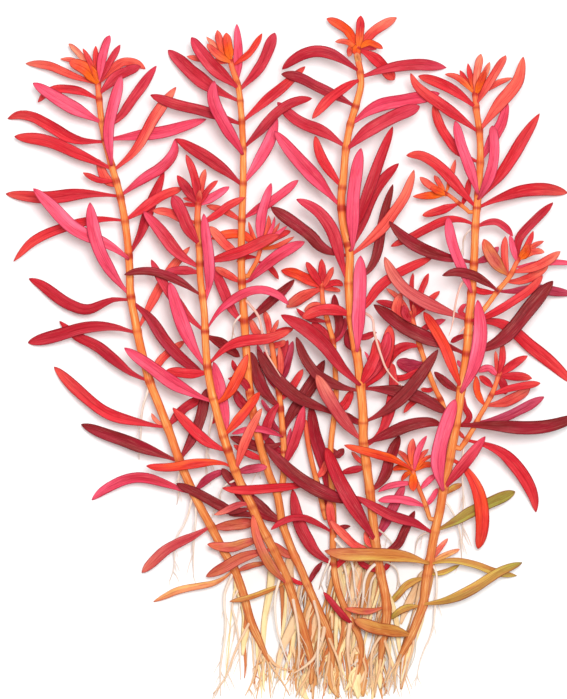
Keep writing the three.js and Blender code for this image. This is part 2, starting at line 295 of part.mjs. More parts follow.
    [0, 'rose', 3.1, -1, 1, [13.8, 43.9, 18, 47.5, 23, 50.5, 30, 53.5]],
    [0, 'coral', 2.5, 0, 1, [14.6, 20.6, 20.5, 25.5, 24.5, 30.5, 27, 34.5, 28.7, 39.5]],
    ['leaf_c_8', 'maroon', 2.9, 1, 1, [18, -16, 22, -13.7, 26, -10.5, 29.5, -6.5, 34, 0]],
    ['leaf_c_9', 'maroon', 2.8, -2, 1, [17.1, -8.5, 22, -8.8, 27, -9.6, 31, -11, 36, -14]],
    [0, 'maroon', 2.7, 1, 1, [17.6, -20.4, 20, -19.8, 24, -18, 28, -16.5, 32, -15.9, 34.8, -16.6]],
    ['leaf_c_11', 'crimson', 3.1, 3, 2, [16.9, -8, 13, -4, 9, 1, 5, 4.5, -0.6, 7.6]],
    ['leaf_c_12', 'dusty', 3.0, 2, 1, [17.6, -20.6, 14, -16.5, 10.5, -11.5, 7.2, -5.5]],
    ['leaf_c_13', 'pink', 3.0, 3, 2, [15.2, 21.8, 15.3, 33, 16.2, 40, 17, 44.2]],
    ['leaf_c_14', 'pink', 3.1, 3, 2, [16.2, -0.6, 16.5, 6, 16.8, 14, 16.9, 20.6]],
  ],
  e: [
    [0, 'coral', 1.7, -3, 0, [-18.6, 33, -18, 36.5, -17.2, 39.7]],
    [0, 'crimson', 2.2, -2, 0, [-18.7, 32.9, -21.6, 35.8, -23.4, 38.3]],
    [0, 'red', 0.9, -2, 0, [-18.7, 32.6, -20.4, 32.9, -22.1, 33.2]],
    [0, 'red', 1.0, -4, 0, [-18.8, 31.8, -20.4, 31.8, -22, 32.1]],
    [0, 'pink', 2.0, -1, 0, [-18.6, 32.5, -14.4, 34.2, -11.9, 35.8]],
    [0, 'red', 1.4, 1, 0, [-18.5, 33, -16.3, 35.4, -14.4, 37.1]],
    [0, 'scarlet', 1.9, 2, 1, [-18.6, 32.8, -19.6, 38.2, -21.4, 42.8]],
    [0, 'coral', 1.4, 2, 0, [-18.7, 31.8, -18.5, 33.4, -18.3, 35]],
    [0, 'coral', 2.0, -6, 0, [-18.8, 27.6, -22, 28.5, -25, 30.1, -28.8, 30.5]],
    [0, 'red', 1.9, -2, 0, [-18.8, 27.2, -14.5, 29.7, -12, 31.6, -8.4, 33.4]],
    [0, 'crimson', 2.0, -6, 0, [-18.3, 16.8, -22, 17.4, -26, 17.1]],
    [0, 'crimson', 2.8, -3, 0, [-18.4, 17.9, -23, 21, -27, 26, -30.8, 30.4]],
    [0, 'maroon', 2.4, -5, 0, [-17.1, 3.2, -13.5, 1.2, -9.6, -1.6]],
    [0, 'red', 2.4, -4, 0, [-16.6, -5, -21, -5.3, -25.8, -4.6]],
    [0, 'crimson', 1.2, -4, 0, [-15.3, -11, -14.8, -14, -15.6, -16.4]],
    [0, 'scarlet', 2.4, -4, 0, [-12.2, -22.4, -16, -20.8, -19, -18.5, -22, -15.5, -24.4, -12.8]],
    [0, 'orange', 2.4, 0, 0, [-15.5, -12, -12.7, -10.4, -10, -6, -7.8, -1]],
    [0, 'mauve', 2.1, -4, 0, [-10.5, -27, -7.6, -26.4, -3.6, -25.8]],
    [0, 'coral', 2.2, 1, 1, [-10.7, -26.7, -9.3, -22.6, -7.4, -17.9, -4.7, -12.9]],
    [0, 'maroon', 2.2, -2, 0, [-9, -30.4, -11.6, -28.7, -13.6, -26.2]],
    [0, 'maroon', 2.3, -3, 0, [-6.9, -34.6, -11, -35.6, -15, -33.8, -19, -31.6, -23.6, -29.5]],
    [0, 'salmon', 1.5, -2, 0, [-7, -34.4, -9.8, -34, -12, -35.2, -15.3, -36.4]],
    [0, 'maroon', 1.4, -5, 0, [-6, -36.7, -8.6, -36.2, -12.1, -36.4]],
    [0, 'terracotta', 2.2, -4, 0, [-3.7, -41.3, -8, -42.5, -12, -43.6, -16.8, -42.9]],
    [0, 'terracotta', 2.4, -5, 0, [-2.4, -43.8, -9.3, -45.9, -13, -48, -17.1, -50.1]],
    [0, 'ochre', 1.3, -3, 0, [0.8, -51.4, -3, -53, -8, -54.8, -11.9, -55.6]],
    [0, 'terracotta', 2.3, 5, 1, [0.9, -51.8, -1.8, -49, -4.6, -44.6, -6.1, -40.4, -6.8, -36.3]],
    [0, 'scarlet', 2.2, -2, 1, [-12.2, -18.7, -8.4, -13.6, -5.2, -9.3]],
    [0, 'crimson', 2.9, -2, 1, [-18.6, 23, -20.8, 26.5, -22.5, 30.5, -24.4, 33.8]],
    [0, 'crimson', 2.3, -2, 0, [-17.2, 3.8, -20.5, 6.8, -24, 11, -27, 15.5, -29.1, 19.8]],
    [0, 'maroon', 2.0, 0, 1, [-18, 11.6, -22, 14.5, -26, 16.4, -31, 17.3, -35, 16.4]],
    ['leaf_e_5', 'scarlet', 2.1, 0, 1, [-10.8, -26.3, -12.5, -25.2, -16, -24.8, -21, -25.3, -26, -26,
      -30.2, -25.6]],
    ['leaf_e_6', 'red', 2.6, 1, 1, [-18.4, 18.9, -12, 20.6, -8, 22, -4, 24, -0.8, 25.2]],
    ['leaf_e_7', 'rose', 2.0, 0, 2, [-17.2, 4, -14.5, 8, -12, 10.2, -9, 12.1, -5, 13.1, -1.5, 12.1,
      1.2, 9.8]],
    ['leaf_e_8', 'red', 2.5, 0, 1, [-16.8, -3.6, -12.4, 0.6, -8, 2.1, -3.4, 2.5, 1.6, 4.3]],
    ['leaf_e_9', 'pink', 3.0, 1, 1, [-15.2, -11.7, -20, -9.6, -25, -6.8, -29.5, -3.5, -35, 0.4]],
    ['leaf_e_10', 'pink', 3.0, 3, 1, [-17, -4.4, -19.5, 0, -21.5, 4, -23.5, 9.5, -25, 14.8]],
    ['leaf_e_11', 'pink', 2.7, 5, 1, [-12.4, -22, -12.7, -16, -13.8, -10, -15.4, -2.7]],
    ['leaf_e_12', 'pink', 2.6, 5, 1, [-17.6, 9, -16.4, 14, -16.4, 20, -17, 25, -17.5, 29.8]],
  ],
  d1: [
    [0, 'coral', 1.3, -3, 0, [35, 34.8, 34.4, 36.5, 33.2, 38.4]],
    [0, 'coral', 1.7, -1, 0, [34.8, 34.8, 32, 36.3, 30, 38]],
    [0, 'coral', 1.2, -4, 0, [35.4, 34.5, 36.9, 38, 37.9, 41.9]],
    [0, 'orange', 1.7, -2, 0, [34.8, 34.6, 31.5, 33.9, 28.5, 33.7]],
    [0, 'orange', 1.6, 2, 0, [35, 34.7, 33.8, 35, 32.3, 35.6]],
    [0, 'red', 1.9, -3, 0, [38.6, 32.1, 34.5, 30.6, 30.6, 29.5]],
    [0, 'red', 1.5, 1, 0, [39.2, 31.7, 40.4, 34.5, 40.8, 37.7]],
  ],
  d2: [
    [0, 'coral', 1.7, -1, 0, [49.7, 16, 48.6, 21, 48.8, 24.9]],
    [0, 'pink', 1.4, 0, 0, [51.3, 19.3, 50.5, 22, 49.8, 25.2]],
    [0, 'red', 1.4, -2, 0, [52.6, 21.2, 54, 23.6, 55, 26.1]],
    [0, 'coral', 1.2, -4, 0, [52.6, 21.2, 55, 22.8, 57.4, 23.9]],
    [0, 'coral', 1.6, -3, 0, [52.6, 21, 55, 21.6, 57.4, 21.4]],
    [0, 'orange', 2.2, 0, 0, [51.6, 19.8, 53.1, 21.2, 53.9, 23.2]],
    [0, 'crimson', 2.1, -3, 1, [51.3, 19.3, 51.9, 24.4, 55.3, 28.4, 59.4, 32.4]],
    [0, 'red', 2.1, -3, 1, [50.2, 17, 54.5, 17.9, 58, 19.5, 61, 21.6]],
    [0, 'pink', 1.4, -5, 0, [50.6, 17.8, 56, 18.8, 60, 19.2, 64.3, 18.9]],
    [0, 'orange', 2.0, -4, 0, [49, 15, 52.5, 15.2, 55.5, 16.6, 58.4, 18.6]],
    [0, 'mauve', 2.2, -90, 0, [47.1, 12.9, 51, 12.8, 54.5, 13.3, 59, 12.9, 64, 12.2]],
    [0, 'terracotta', 2.8, 1, 0, [49.7, 16.2, 47.9, 17.7, 45.5, 21, 44, 24.3]],
    [0, 'red', 1.4, -3, 0, [46.9, 12.7, 43, 12.9, 39.7, 15]],
    ['leaf_d_12', 'maroon', 2.1, 5, 2, [46.5, 13.4, 42, 16.1, 38, 17, 34.8, 16.2]],
  ],
  d3: [
    [0, 'coral', 1.0, -2, 0, [47.7, -4.7, 46.9, -3, 46.7, -0.3]],
    [0, 'red', 1.5, 0, 0, [47.8, -4.8, 48.2, -2, 48.1, 1.6]],
    [0, 'red', 1.9, -3, 0, [47.8, -5, 51, -3, 53.8, -1.4]],
    [0, 'red', 2.0, -4, 0, [47.7, -5, 52, -5.9, 54.8, -6.4]],
    [0, 'pink', 1.7, -2, 0, [47.6, -5, 45, -4, 43, -5]],
    [0, 'red', 1.6, -3, 0, [46.3, -8.6, 45.2, -7.5, 43.2, -5.8]],
    [0, 'crimson', 1.9, -2, 0, [47.5, -5.3, 48.4, -7.6, 48.9, -9.9]],
    [0, 'orange', 1.6, -1, 0, [44.5, -12.2, 42.8, -9.8, 42.4, -5.8]],
    [0, 'orange', 2.4, -90, 1, [44.5, -12.2, 48.7, -11.6, 51.8, -10.2, 54.5, -8.7]],
    [0, 'red', 1.7, -2, 0, [45.6, -10.4, 49.4, -8.7, 52.9, -8, 56.6, -7.4]],
    [0, 'coral', 0.9, -1, 0, [40.2, -20, 39.3, -19, 38.2, -17.6]],
    [0, 'mauve', 2.2, -4, 0, [42.4, -16.2, 46.8, -15.5, 50, -14.3, 54, -12.3, 57.5, -10.4]],
    ['leaf_d_23', 'red', 2.9, -90, 1, [40.2, -20, 45, -21.2, 49, -23.5, 52.5, -27.5, 55, -32, 55.8, -36]],
  ],
  d4: [
    [0, 'coral', 1.9, -2, 0, [28.2, -25.4, 28.2, -22.5, 28.6, -19.6]],
    [0, 'pink', 1.4, 0, 0, [28.4, -25.3, 29.8, -22, 31.6, -19]],
    [0, 'coral', 1.2, -3, 0, [28.4, -25.4, 30.3, -23.6, 32, -22]],
    [0, 'orange', 1.0, 0, 0, [28.4, -25.5, 31, -24.2, 33.1, -23.2]],
    [0, 'orange', 1.5, -3, 0, [28.4, -25.6, 31, -25.4, 33.4, -25.6]],
    [0, 'coral', 1.3, -3, 0, [28.1, -25.4, 26.8, -23.6, 25, -22.3]],
    [0, 'orange', 1.4, -3, 0, [28.1, -25.5, 26, -25.9, 24, -26.6]],
    [0, 'orange', 1.1, -2, 0, [28.3, -26.4, 27, -27.6, 26, -29]],
    [0, 'orange', 2.0, 2, 0, [28.4, -25.6, 28.6, -28, 28.6, -31.2]],
    [0, 'red', 1.4, -2, 0, [29.4, -29.5, 25.8, -29.6, 23, -30.2, 20.8, -31.4]],
    [0, 'pink', 1.9, 1, 1, [31.4, -34.6, 27.5, -33.3, 24, -32.9, 20.8, -33.3]],
    [0, 'pink', 1.4, -1, 0, [30, -31, 31.8, -29, 33.9, -27.3]],
    [0, 'pink', 1.3, -2, 0, [31.4, -34.6, 32.8, -32.8, 34, -30.6]],
    [0, 'orange', 1.9, 8, 1, [28.4, -26, 25, -24.5, 21, -23.2, 17, -22.1, 13.3, -21]],
  ],
  d: [
    [0, 'red', 1.3, -2, 0, [42.3, 56.8, 41.2, 60, 40.6, 63.1]],
    [0, 'red', 1.3, -4, 0, [42.3, 56.4, 40.2, 59.2, 38.9, 61.6]],
    [0, 'coral', 1.4, -5, 0, [42.3, 56.6, 38.2, 60, 35.6, 60.7]],
    [0, 'coral', 1.4, -5, 0, [42.3, 56.2, 47.5, 58.9, 50.5, 59.9]],
    [0, 'salmon', 1.4, -4, 0, [42.3, 56.8, 44, 59.8, 45.5, 63.4]],
    [0, 'coral', 1.8, -2, 0, [42.2, 57, 42.6, 61, 43.5, 65.1]],
    [0, 'coral', 2.0, -6, 1, [42.4, 54, 46, 60, 49, 64.8]],
    [0, 'orange', 1.8, 1, 0, [42.3, 56, 43.2, 58.6, 44.3, 61.5]],
    [0, 'red', 2.3, -5, 1, [42.4, 53, 37.5, 57, 33.5, 59, 29.7, 60.3]],
    [0, 'red', 2.2, -4, 0, [43.2, 41, 39, 43.2, 36.5, 46, 34.2, 50, 33, 54.3]],
    [0, 'crimson', 2.5, -4, 0, [43.3, 41, 45.5, 45.5, 48, 50, 49.3, 54.6]],
    [0, 'red', 2.0, -3, 1, [42.2, 27, 38.5, 28.7, 35, 28.2, 31, 26.3, 28.5, 25, 23.6, 22.7]],
    [0, 'crimson', 1.6, -2, 1, [42.2, 26.8, 46, 28.2, 48.8, 26.9, 50.5, 24.9]],
    [0, 'mauve', 1.8, -5, 0, [41.9, 19, 45, 20.3, 47.4, 22.6]],
    [0, 'crimson', 1.3, -3, 0, [40.9, 7, 38.8, 8.3, 40.2, 10.1]],
    [0, 'crimson', 1.3, -4, 0, [40.5, 3, 38.6, 2.6, 36.8, 1.6]],
    [0, 'pink', 1.0, -2, 0, [39.8, -4, 38.9, -3.4, 38.3, -2.4]],
    [0, 'scarlet', 2.5, -4, 1, [39, -8.8, 37.2, -4, 35.5, 0.5, 33, 5, 30.9, 8.3]],
    [0, 'maroon', 1.8, -4, 0, [39, -9.4, 36, -7.5, 33.2, -4.9]],
    [0, 'crimson', 1.4, -4, 0, [37.9, -16.8, 41.2, -15.6, 40, -13, 39.8, -10.2]],
    [0, 'crimson', 2.3, 6, 1, [32.5, -40.4, 28.3, -38, 24.5, -36.9, 20.8, -35.1, 15.7, -32.2]],
    [0, 'ochre', 1.4, -3, 0, [35, -32, 37.4, -30.5, 39.6, -29.7]],
    [0, 'salmon', 1.3, -2, 0, [32.3, -46.6, 34.2, -44.2, 36.3, -41.7]],
    [0, 'salmon', 1.3, -3, 0, [32.2, -47, 35.5, -45.4, 38.9, -44.1]],
    [0, 'olive', 1.7, -90, 1, [32, -47.4, 36.6, -46.5, 42.1, -47.4, 47, -49.2, 51.6, -50]],
    [0, 'olive', 1.2, -4, 0, [31.7, -49.8, 35.2, -49.2, 38.9, -47.6]],
    [0, 'olive', 1.7, -3, 0, [31.5, -50.2, 28, -51.4, 25.8, -53.6, 23.5, -56.2]],
    [0, 'olive', 2.3, 0, 1, [30.9, -56.4, 36.6, -55.1, 42.1, -52.5, 47.6, -49, 52.7, -47]],
    [0, 'olive', 1.6, -2, 0, [30.7, -56.8, 27.5, -56.9, 25.3, -58, 23.6, -59.6]],
    [0, 'ochre', 2.9, 4, 2, [28.1, -63, 24.5, -62.1, 20.1, -61.3, 15.5, -59.5]],
    [0, 'red', 2.8, -2, 1, [43.1, 48, 47.5, 54, 51.5, 59, 52.8, 64.5]],
    [0, 'red', 2.5, -3, 1, [43, 47.8, 38, 51.5, 33, 55, 29.7, 57.5, 27.9, 60.8]],
    [0, 'red', 2.7, -3, 1, [42.8, 32.6, 48.5, 39.5, 52.5, 46, 56.4, 52]],
    ['leaf_d_4', 'red', 2.8, -90, 2, [42.5, 31.1, 47.5, 33.3, 53, 35, 58, 35.3, 62.8, 34.6]],
    [0, 'red', 2.5, -2, 2, [42.5, 31.2, 38.5, 35.5, 35, 39.5, 30.5, 42.6, 27, 42.7]],
    ['leaf_d_6', 'maroon', 2.7, -2, 1, [41.9, 19.2, 37, 20, 34, 20.8, 30, 22.4, 26, 25, 23.2, 28.2]],
    ['leaf_d_7', 'dusty', 2.9, 0, 1, [40.8, 6.4, 37, 7.9, 32, 10, 27, 13, 24, 16.5, 22.2, 20.4]],
    ['leaf_d_8', 'maroon', 3.1, -1, 1, [40.3, -1, 36, 0.8, 31, 2.8, 26, 5.3, 22.5, 8, 19.8, 9.9]],
    [0, 'red', 2.0, 1, 1, [40.9, 6.2, 44, 7, 47, 8.5, 51, 11, 54.5, 13.5, 57, 16.3]],
    ['leaf_d_10', 'red', 2.9, -90, 1, [40.8, 5.6, 47, 6.1, 50.5, 4.2, 54, 1.2, 58.5, -2.4, 64.5, -7.8]],
    ['leaf_d_11', 'maroon', 3.4, 0, 1, [40.3, -1.2, 47, 1.5, 50.5, 4.5, 54, 9, 57, 12.5, 59.3, 15.1]],
    ['leaf_d_13', 'maroon', 2.9, -90, 1, [37.9, -16.8, 42, -16.6, 48, -16.8, 54, -17.2, 59, -16.6,
      65, -14.8]],
    [0, 'crimson', 2.5, 2, 1, [35.3, -30.8, 37.8, -27.5, 41, -23.5, 44.4, -19.1]],
    [0, 'olive', 2.6, -90, 1, [33.5, -40, 37, -38.3, 41, -36, 46, -33.6, 51.2, -31.4]],
    ['leaf_d_16', 'ochre', 3.1, 4, 2, [32.2, -47.2, 27, -45.7, 20, -45.2, 13, -45.1, 9, -44.3]],
    ['leaf_d_17', 'pink', 2.5, 4, 2, [42.8, 34, 41, 39.5, 39, 45, 37.7, 50.2]],
    ['leaf_d_18', 'pink', 2.4, 4, 2, [42.8, 33, 45, 37.5, 46.2, 43, 45.9, 49.2]],
    ['leaf_d_19', 'pink', 2.4, 4, 2, [41.3, 12.6, 39.1, 18, 37.8, 21, 36.6, 25, 36.1, 29.2]],
    ['leaf_d_20', 'pink', 3.2, 4, 2, [39, -9.4, 41.3, -5, 42.8, 0, 43.2, 5, 42.6, 10.9]],
    ['leaf_d_21', 'pink', 3.5, 4, 2, [35.1, -31, 33.9, -25.5, 34.9, -19, 37.8, -10.9]],
    ['leaf_d_22', 'scarlet', 3.0, -90, 2, [36.6, -24, 38.6, -25, 40.7, -27.2, 42.5, -30.5, 43.6, -35,
      43.7, -40, 42.9, -44]],
  ],
};

// Small leaves deep inside the clump, laid after all others: rows as in LEAVES.
const INNER_LEAVES = {
  p: [
    [0, 'rose', 1.6, -1, 0, [-1, -9.3, -3.6, -5.2, -5.8, 1.2]],
    [0, 'coral', 1.5, -1, 0, [-1, -8, -0.6, -3.6, -1, 0.8]],
    [0, 'mauve', 1.5, -1, 0, [-0.3, -18.4, -2.5, -16.4, -3.2, -13.1]],
    [0, 'wine', 2.0, -1, 0, [-0.3, -22.8, -2.5, -21.4, -3.9, -19.2]],
    [0, 'pink', 1.3, -1, 0, [0.1, -24.5, 1, -21.2, 1.6, -17.3]],
  ],
  c: [
    [0, 'crimson', 3.0, -3, 0, [17.3, -8.2, 20.8, -2.8, 22.6, 1, 23, 3.9]],
  ],
};

// Water roots by stem: [width, x, y points from the stem]. They droop to the table and lie on it.
const ROOTS = {
  a: [
    [0.7, -30, -7.6, -31, -13, -31.4, -19, -32, -24.3],
    [0.6, -22.9, -24.9, -23.2, -31, -23.6, -34.3],
    [0.6, -19.9, -31.6, -21.2, -36.9, -24.1, -42.6, -23.9, -47.6, -25.2, -51.1],
    [0.6, -19.4, -32.5, -19.5, -38, -19.8, -44, -19.7, -50.3],
    [0.8, -10.9, -48.9, -13.2, -54.5, -12.8, -60, -13, -65, -13.8, -70, -14, -76.5],
    [0.6, -9.4, -52.4, -11.2, -56, -10.2, -61, -9.8, -66, -9.6, -73],
    [0.7, -7.2, -59.8, -9.4, -64, -11, -68, -13, -72.6, -15.6, -76],
    [0.7, -4.6, -66, -6.5, -72, -8.3, -76.5],
    [0.6, -3.7, -68, -5, -73, -6, -77],
    [0.6, -3.2, -69, -3, -73, -2.8, -77],
    [0.6, -3.3, -68.8, -0.9, -72.6, 1.4, -76.5],
    [1.0, -3.4, -68.5, -1, -70.2, 1.5, -71],
  ],
  e: [
    [0.7, -15.2, -11.8, -16.2, -16.8, -16.5, -20, -17, -24, -17.2, -28],
    [0.6, -9.8, -28.6, -12.9, -30, -14.3, -33.4],
    [0.8, -0.4, -48, -1.8, -56, -1.5, -62, 0, -66, 1.5, -70],
    [0.8, 2, -54.4, 3.2, -60.4, 3.4, -66, 2.9, -73],
    [0.8, 6.1, -71, 4.2, -74, 2.6, -76.8],
    [0.8, 6.1, -73.4, 6.3, -75.4, 6.4, -77.2],
  ],
  b: [
    [0.6, -8.8, 8, -11, 5.5, -11.3, 2.2],
    [0.6, -4.2, -24.2, -5.2, -26, -4.9, -28.5],
    [0.8, 6.6, -54.9, 7.7, -60, 7.6, -66, 7.8, -74],
    [1.1, 9, -60.5, 8.2, -65, 6.6, -68.4, 2, -71.5],
    [0.8, 10.6, -66.4, 9.6, -70.4, 8.9, -76.5],
    [0.8, 11, -70.1, 11, -74, 11.6, -77.2],
    [0.8, 10, -63.2, 12, -68, 13.2, -75],
  ],
  i: [
    [0.7, 11, -45, 9.2, -48.6, 8, -53],
    [0.7, 11, -46.6, 9.9, -49.4, 9.7, -52.5],
    [0.8, 11, -42.6, 13.4, -47.4, 14, -52, 15.5, -57],
    [0.8, 10.9, -41.4, 14.6, -46, 15.7, -51, 16.4, -56.6],
    [1.3, 14.4, -59, 14.3, -66, 14.6, -72.4],
    [0.8, 17.1, -66, 18, -70, 17.3, -76],
    [0.8, 16.5, -71.4, 15.4, -74, 15, -77],
  ],
  c: [
    [0.6, 19.8, -39.3, 22, -40.4, 24, -43],
    [0.9, 20.9, -46.8, 18.7, -49, 17.6, -53, 17.2, -59.6],
    [0.7, 21.2, -48.5, 19.6, -51, 18.9, -54, 18.7, -58.6],
    [0.6, 20.9, -46.9, 24, -47.4, 25.2, -50, 25, -53],
    [0.8, 22.3, -62, 19.9, -66, 19.1, -74],
    [0.8, 22, -63.6, 23.4, -69, 21.9, -75],
    [0.8, 21.4, -69, 20.6, -73, 20.1, -76.8],
  ],
  d3: [
    [0.6, 39.3, -21.2, 39.3, -26, 39.5, -33, 39.7, -42.5],
  ],
  d: [
    [0.6, 42.2, 27, 40.4, 25.6, 39.7, 24, 39.5, 20.8],
    [0.6, 34.8, -33, 36.6, -34.6, 38.3, -38, 39, -42, 39.3, -46.5],
    [0.6, 33.3, -40.4, 30.9, -40.6, 29.8, -42, 29, -44.6],
    [0.6, 32.2, -46.8, 33.6, -49, 33.7, -52, 33.3, -57, 32.8, -62, 30.5, -68, 29.2, -74.6],
    [0.7, 28.6, -62.4, 28.6, -66, 27.5, -70, 26, -75],
    [0.7, 25.8, -67.9, 24.9, -71, 24.4, -76],
    [0.6, 25.1, -69.2, 23.2, -72.5, 22.4, -76.5],
  ],
};

// Roots that hang over the leaves in front: [stem, width, x, y points].
const FRONT_ROOTS = [
  ['b', 0.7, -8.9, 11.5, -5.6, 7.5, -4.7, 4, -4, 0, -2.5, -2.8, -0.6, -6],
  ['c', 0.7, 14.9, 8.2, 19, 7.6, 20, 3.5, 21, 0, 23, -5, 26, -8],
  ['d', 0.6, 41.6, 15.8, 39.3, 14.8, 38.3, 12, 37.6, 9, 37.2, 6, 36.3, 3],
  ['d', 0.6, 40.7, 5.7, 39.7, 4.8, 38.5, 3.4],
];

const grid = new Map();
const stations = {};

// One solid from one piece of geometry, with its duplicate seam points joined.
function toSolid(geometry) {
  const plain = geometry.index ? geometry.toNonIndexed() : geometry.clone();
  plain.deleteAttribute('normal');
  plain.deleteAttribute('uv');
  const merged = mergeVertices(plain, 1e-4);
  const index = merged.index.array;
  const position = merged.attributes.position.array;
  const kept = [];
  for (let t = 0; t < index.length; t += 3) {
    const [p, q, r] = [index[t], index[t + 1], index[t + 2]];
    if (p !== q && q !== r && r !== p) kept.push(p, q, r);
  }
  const mesh = new SolidMesh({
    numProp: 3,
    vertProperties: new Float32Array(position),
    triVerts: new Uint32Array(kept),
  });
  const solid = new Manifold(mesh);
  return solid.volume() < 0 ? solid.mirror([0, 0, 1]).mirror([0, 0, 1]) : solid;
}

function curveThrough(points) {
  const vectors = points.map(([x, y, z]) => new THREE.Vector3(x, y, z));
  return new THREE.CatmullRomCurve3(vectors, false, 'centripetal');
}

function stemShape(radius, sides) {
  const outline = new THREE.Shape();
  for (let side = 0; side < sides; side += 1) {
    const turn = (side + 0.5) * (2 * Math.PI / sides);
    const x = radius * Math.cos(turn);
    const y = radius * Math.sin(turn);
    if (side === 0) outline.moveTo(x, y);
    else outline.lineTo(x, y);
  }
  outline.closePath();
  return outline;
}

function tube(curve, radius, sides, stepLength) {
  const steps = Math.max(2, Math.round(curve.getLength() / stepLength));
  return toSolid(new THREE.ExtrudeGeometry(stemShape(radius, sides), {
    extrudePath: curve, steps, bevelEnabled: false,
  }));
}

// Where a leaf profile has a given share of its full width.
function widthShare(shape, s) {
  for (let k = 1; k < shape.length; k += 1) {
    if (s <= shape[k][0]) {
      const [s0, w0] = shape[k - 1];
      const [s1, w1] = shape[k];
      return w0 + (w1 - w0) * (s - s0) / (s1 - s0);
    }
  }
  return 0;
}

// A leaf: a lathe of its outline, flattened and bent along its midrib. Four sides give it a ridge above and
// below, three sides a ridge above only.
function leafSolid(curve, width, shape, roll, sides) {
  const spread = sides === 3 ? 1 / Math.cos(Math.PI / 6) : 1;
  const underside = sides === 3 ? 0.5 : 1;
  const profile = shape.map(([s, w]) => new THREE.Vector2(w * width * spread / 2, s));
  const geometry = new THREE.LatheGeometry(profile, sides);
  const position = geometry.attributes.position;
  const up = new THREE.Vector3(0, 0, 1);
  for (let v = 0; v < position.count; v += 1) {
    const s = Math.min(1, Math.max(0, position.getY(v)));
    const across = position.getX(v);
    const side = position.getZ(v);
    const share = widthShare(shape, s);
    let thick = LEAF_HALF_THICK * Math.sqrt(share);
    if (Math.abs(side) < 1e-6) thick = 0;
    else if (side < 0) thick *= -underside;
    const centre = curve.getPointAt(s);
    const along = curve.getTangentAt(s);
    const right = new THREE.Vector3().crossVectors(along, up).normalize();
    const normal = new THREE.Vector3().crossVectors(right, along).normalize();
    right.applyAxisAngle(along, roll);
    normal.applyAxisAngle(along, roll);
    centre.addScaledVector(right, Math.abs(across) < 1e-6 ? 0 : across).addScaledVector(normal, thick);
    position.setXYZ(v, centre.x, centre.y, centre.z);
  }
  return toSolid(geometry);
}

function pairs(flat) {
  const out = [];
  for (let k = 0; k < flat.length; k += 2) out.push([flat[k], flat[k + 1]]);
  return out;
}

// The point on a stem's centre line nearest to x, y, with its height and distance. The ends are left out.
function nearestOnStem(name, x, y) {
  let best = { gap: Infinity };
  for (const [px, py, pz] of stations[name].line.slice(END_STATIONS, -END_STATIONS)) {
    const gap = Math.hypot(px - x, py - y);
    if (gap < best.gap) best = { gap, x: px, y: py, z: pz };
  }
  return best;
}

// A fused leaf or root starts a little behind the stem's middle, so it is well inside the stem.
function rootedStart(root, next) {
  const away = Math.hypot(next[0] - root.x, next[1] - root.y);
  const back = ROOTED_DEPTH / away;
  return [root.x - (next[0] - root.x) * back, root.y - (next[1] - root.y) * back, 0];
}

function markCell(cells, x, y, low, high) {
  const key = `${Math.round(x / GRID)},${Math.round(y / GRID)}`;
  const old = cells.get(key);
  if (!old) cells.set(key, [low, high]);
  else cells.set(key, [Math.min(old[0], low), Math.max(old[1], high)]);
}

function occupy(cells, owner) {
  for (const [key, [low, high]] of cells) {
    if (!grid.has(key)) grid.set(key, []);
    grid.get(key).push([low, high, owner]);
  }
}

function stemCells(line, radius) {
  const cells = new Map();
  for (const [x, y, z] of line) {
    for (let dx = -radius - 0.3; dx <= radius + 0.3; dx += 0.3) {
      for (let dy = -radius - 0.3; dy <= radius + 0.3; dy += 0.3) {
        if (Math.hypot(dx, dy) <= radius + 0.3) markCell(cells, x + dx, y + dy, z - radius, z + radius);
      }
    }
  }
  return cells;
}

// Plan footprint of a leaf: for each grid cell the stretch of the leaf that covers it.
function leafFootprint(plan, width, shape) {
  const cells = new Map();
  const length = plan.getLength();
  const count = Math.ceil(length / 0.3);
  for (let k = 0; k <= count; k += 1) {
    const s = k / count;
    const centre = plan.getPointAt(s);
    const along = plan.getTangentAt(s);
    const half = widthShare(shape, s) * width / 2 + 0.3;
    for (let across = -half; across <= half + 1e-6; across += half / Math.ceil(half / 0.3)) {
      const x = centre.x - along.y * across;
      const y = centre.y + along.x * across;
      markCell(cells, x, y, s, s);
    }
  }
  return cells;
}

function heightAt(base, lift, arch, s) {
  return base + lift * Math.pow(s, 1.3) + arch * 4 * s * (1 - s);
}

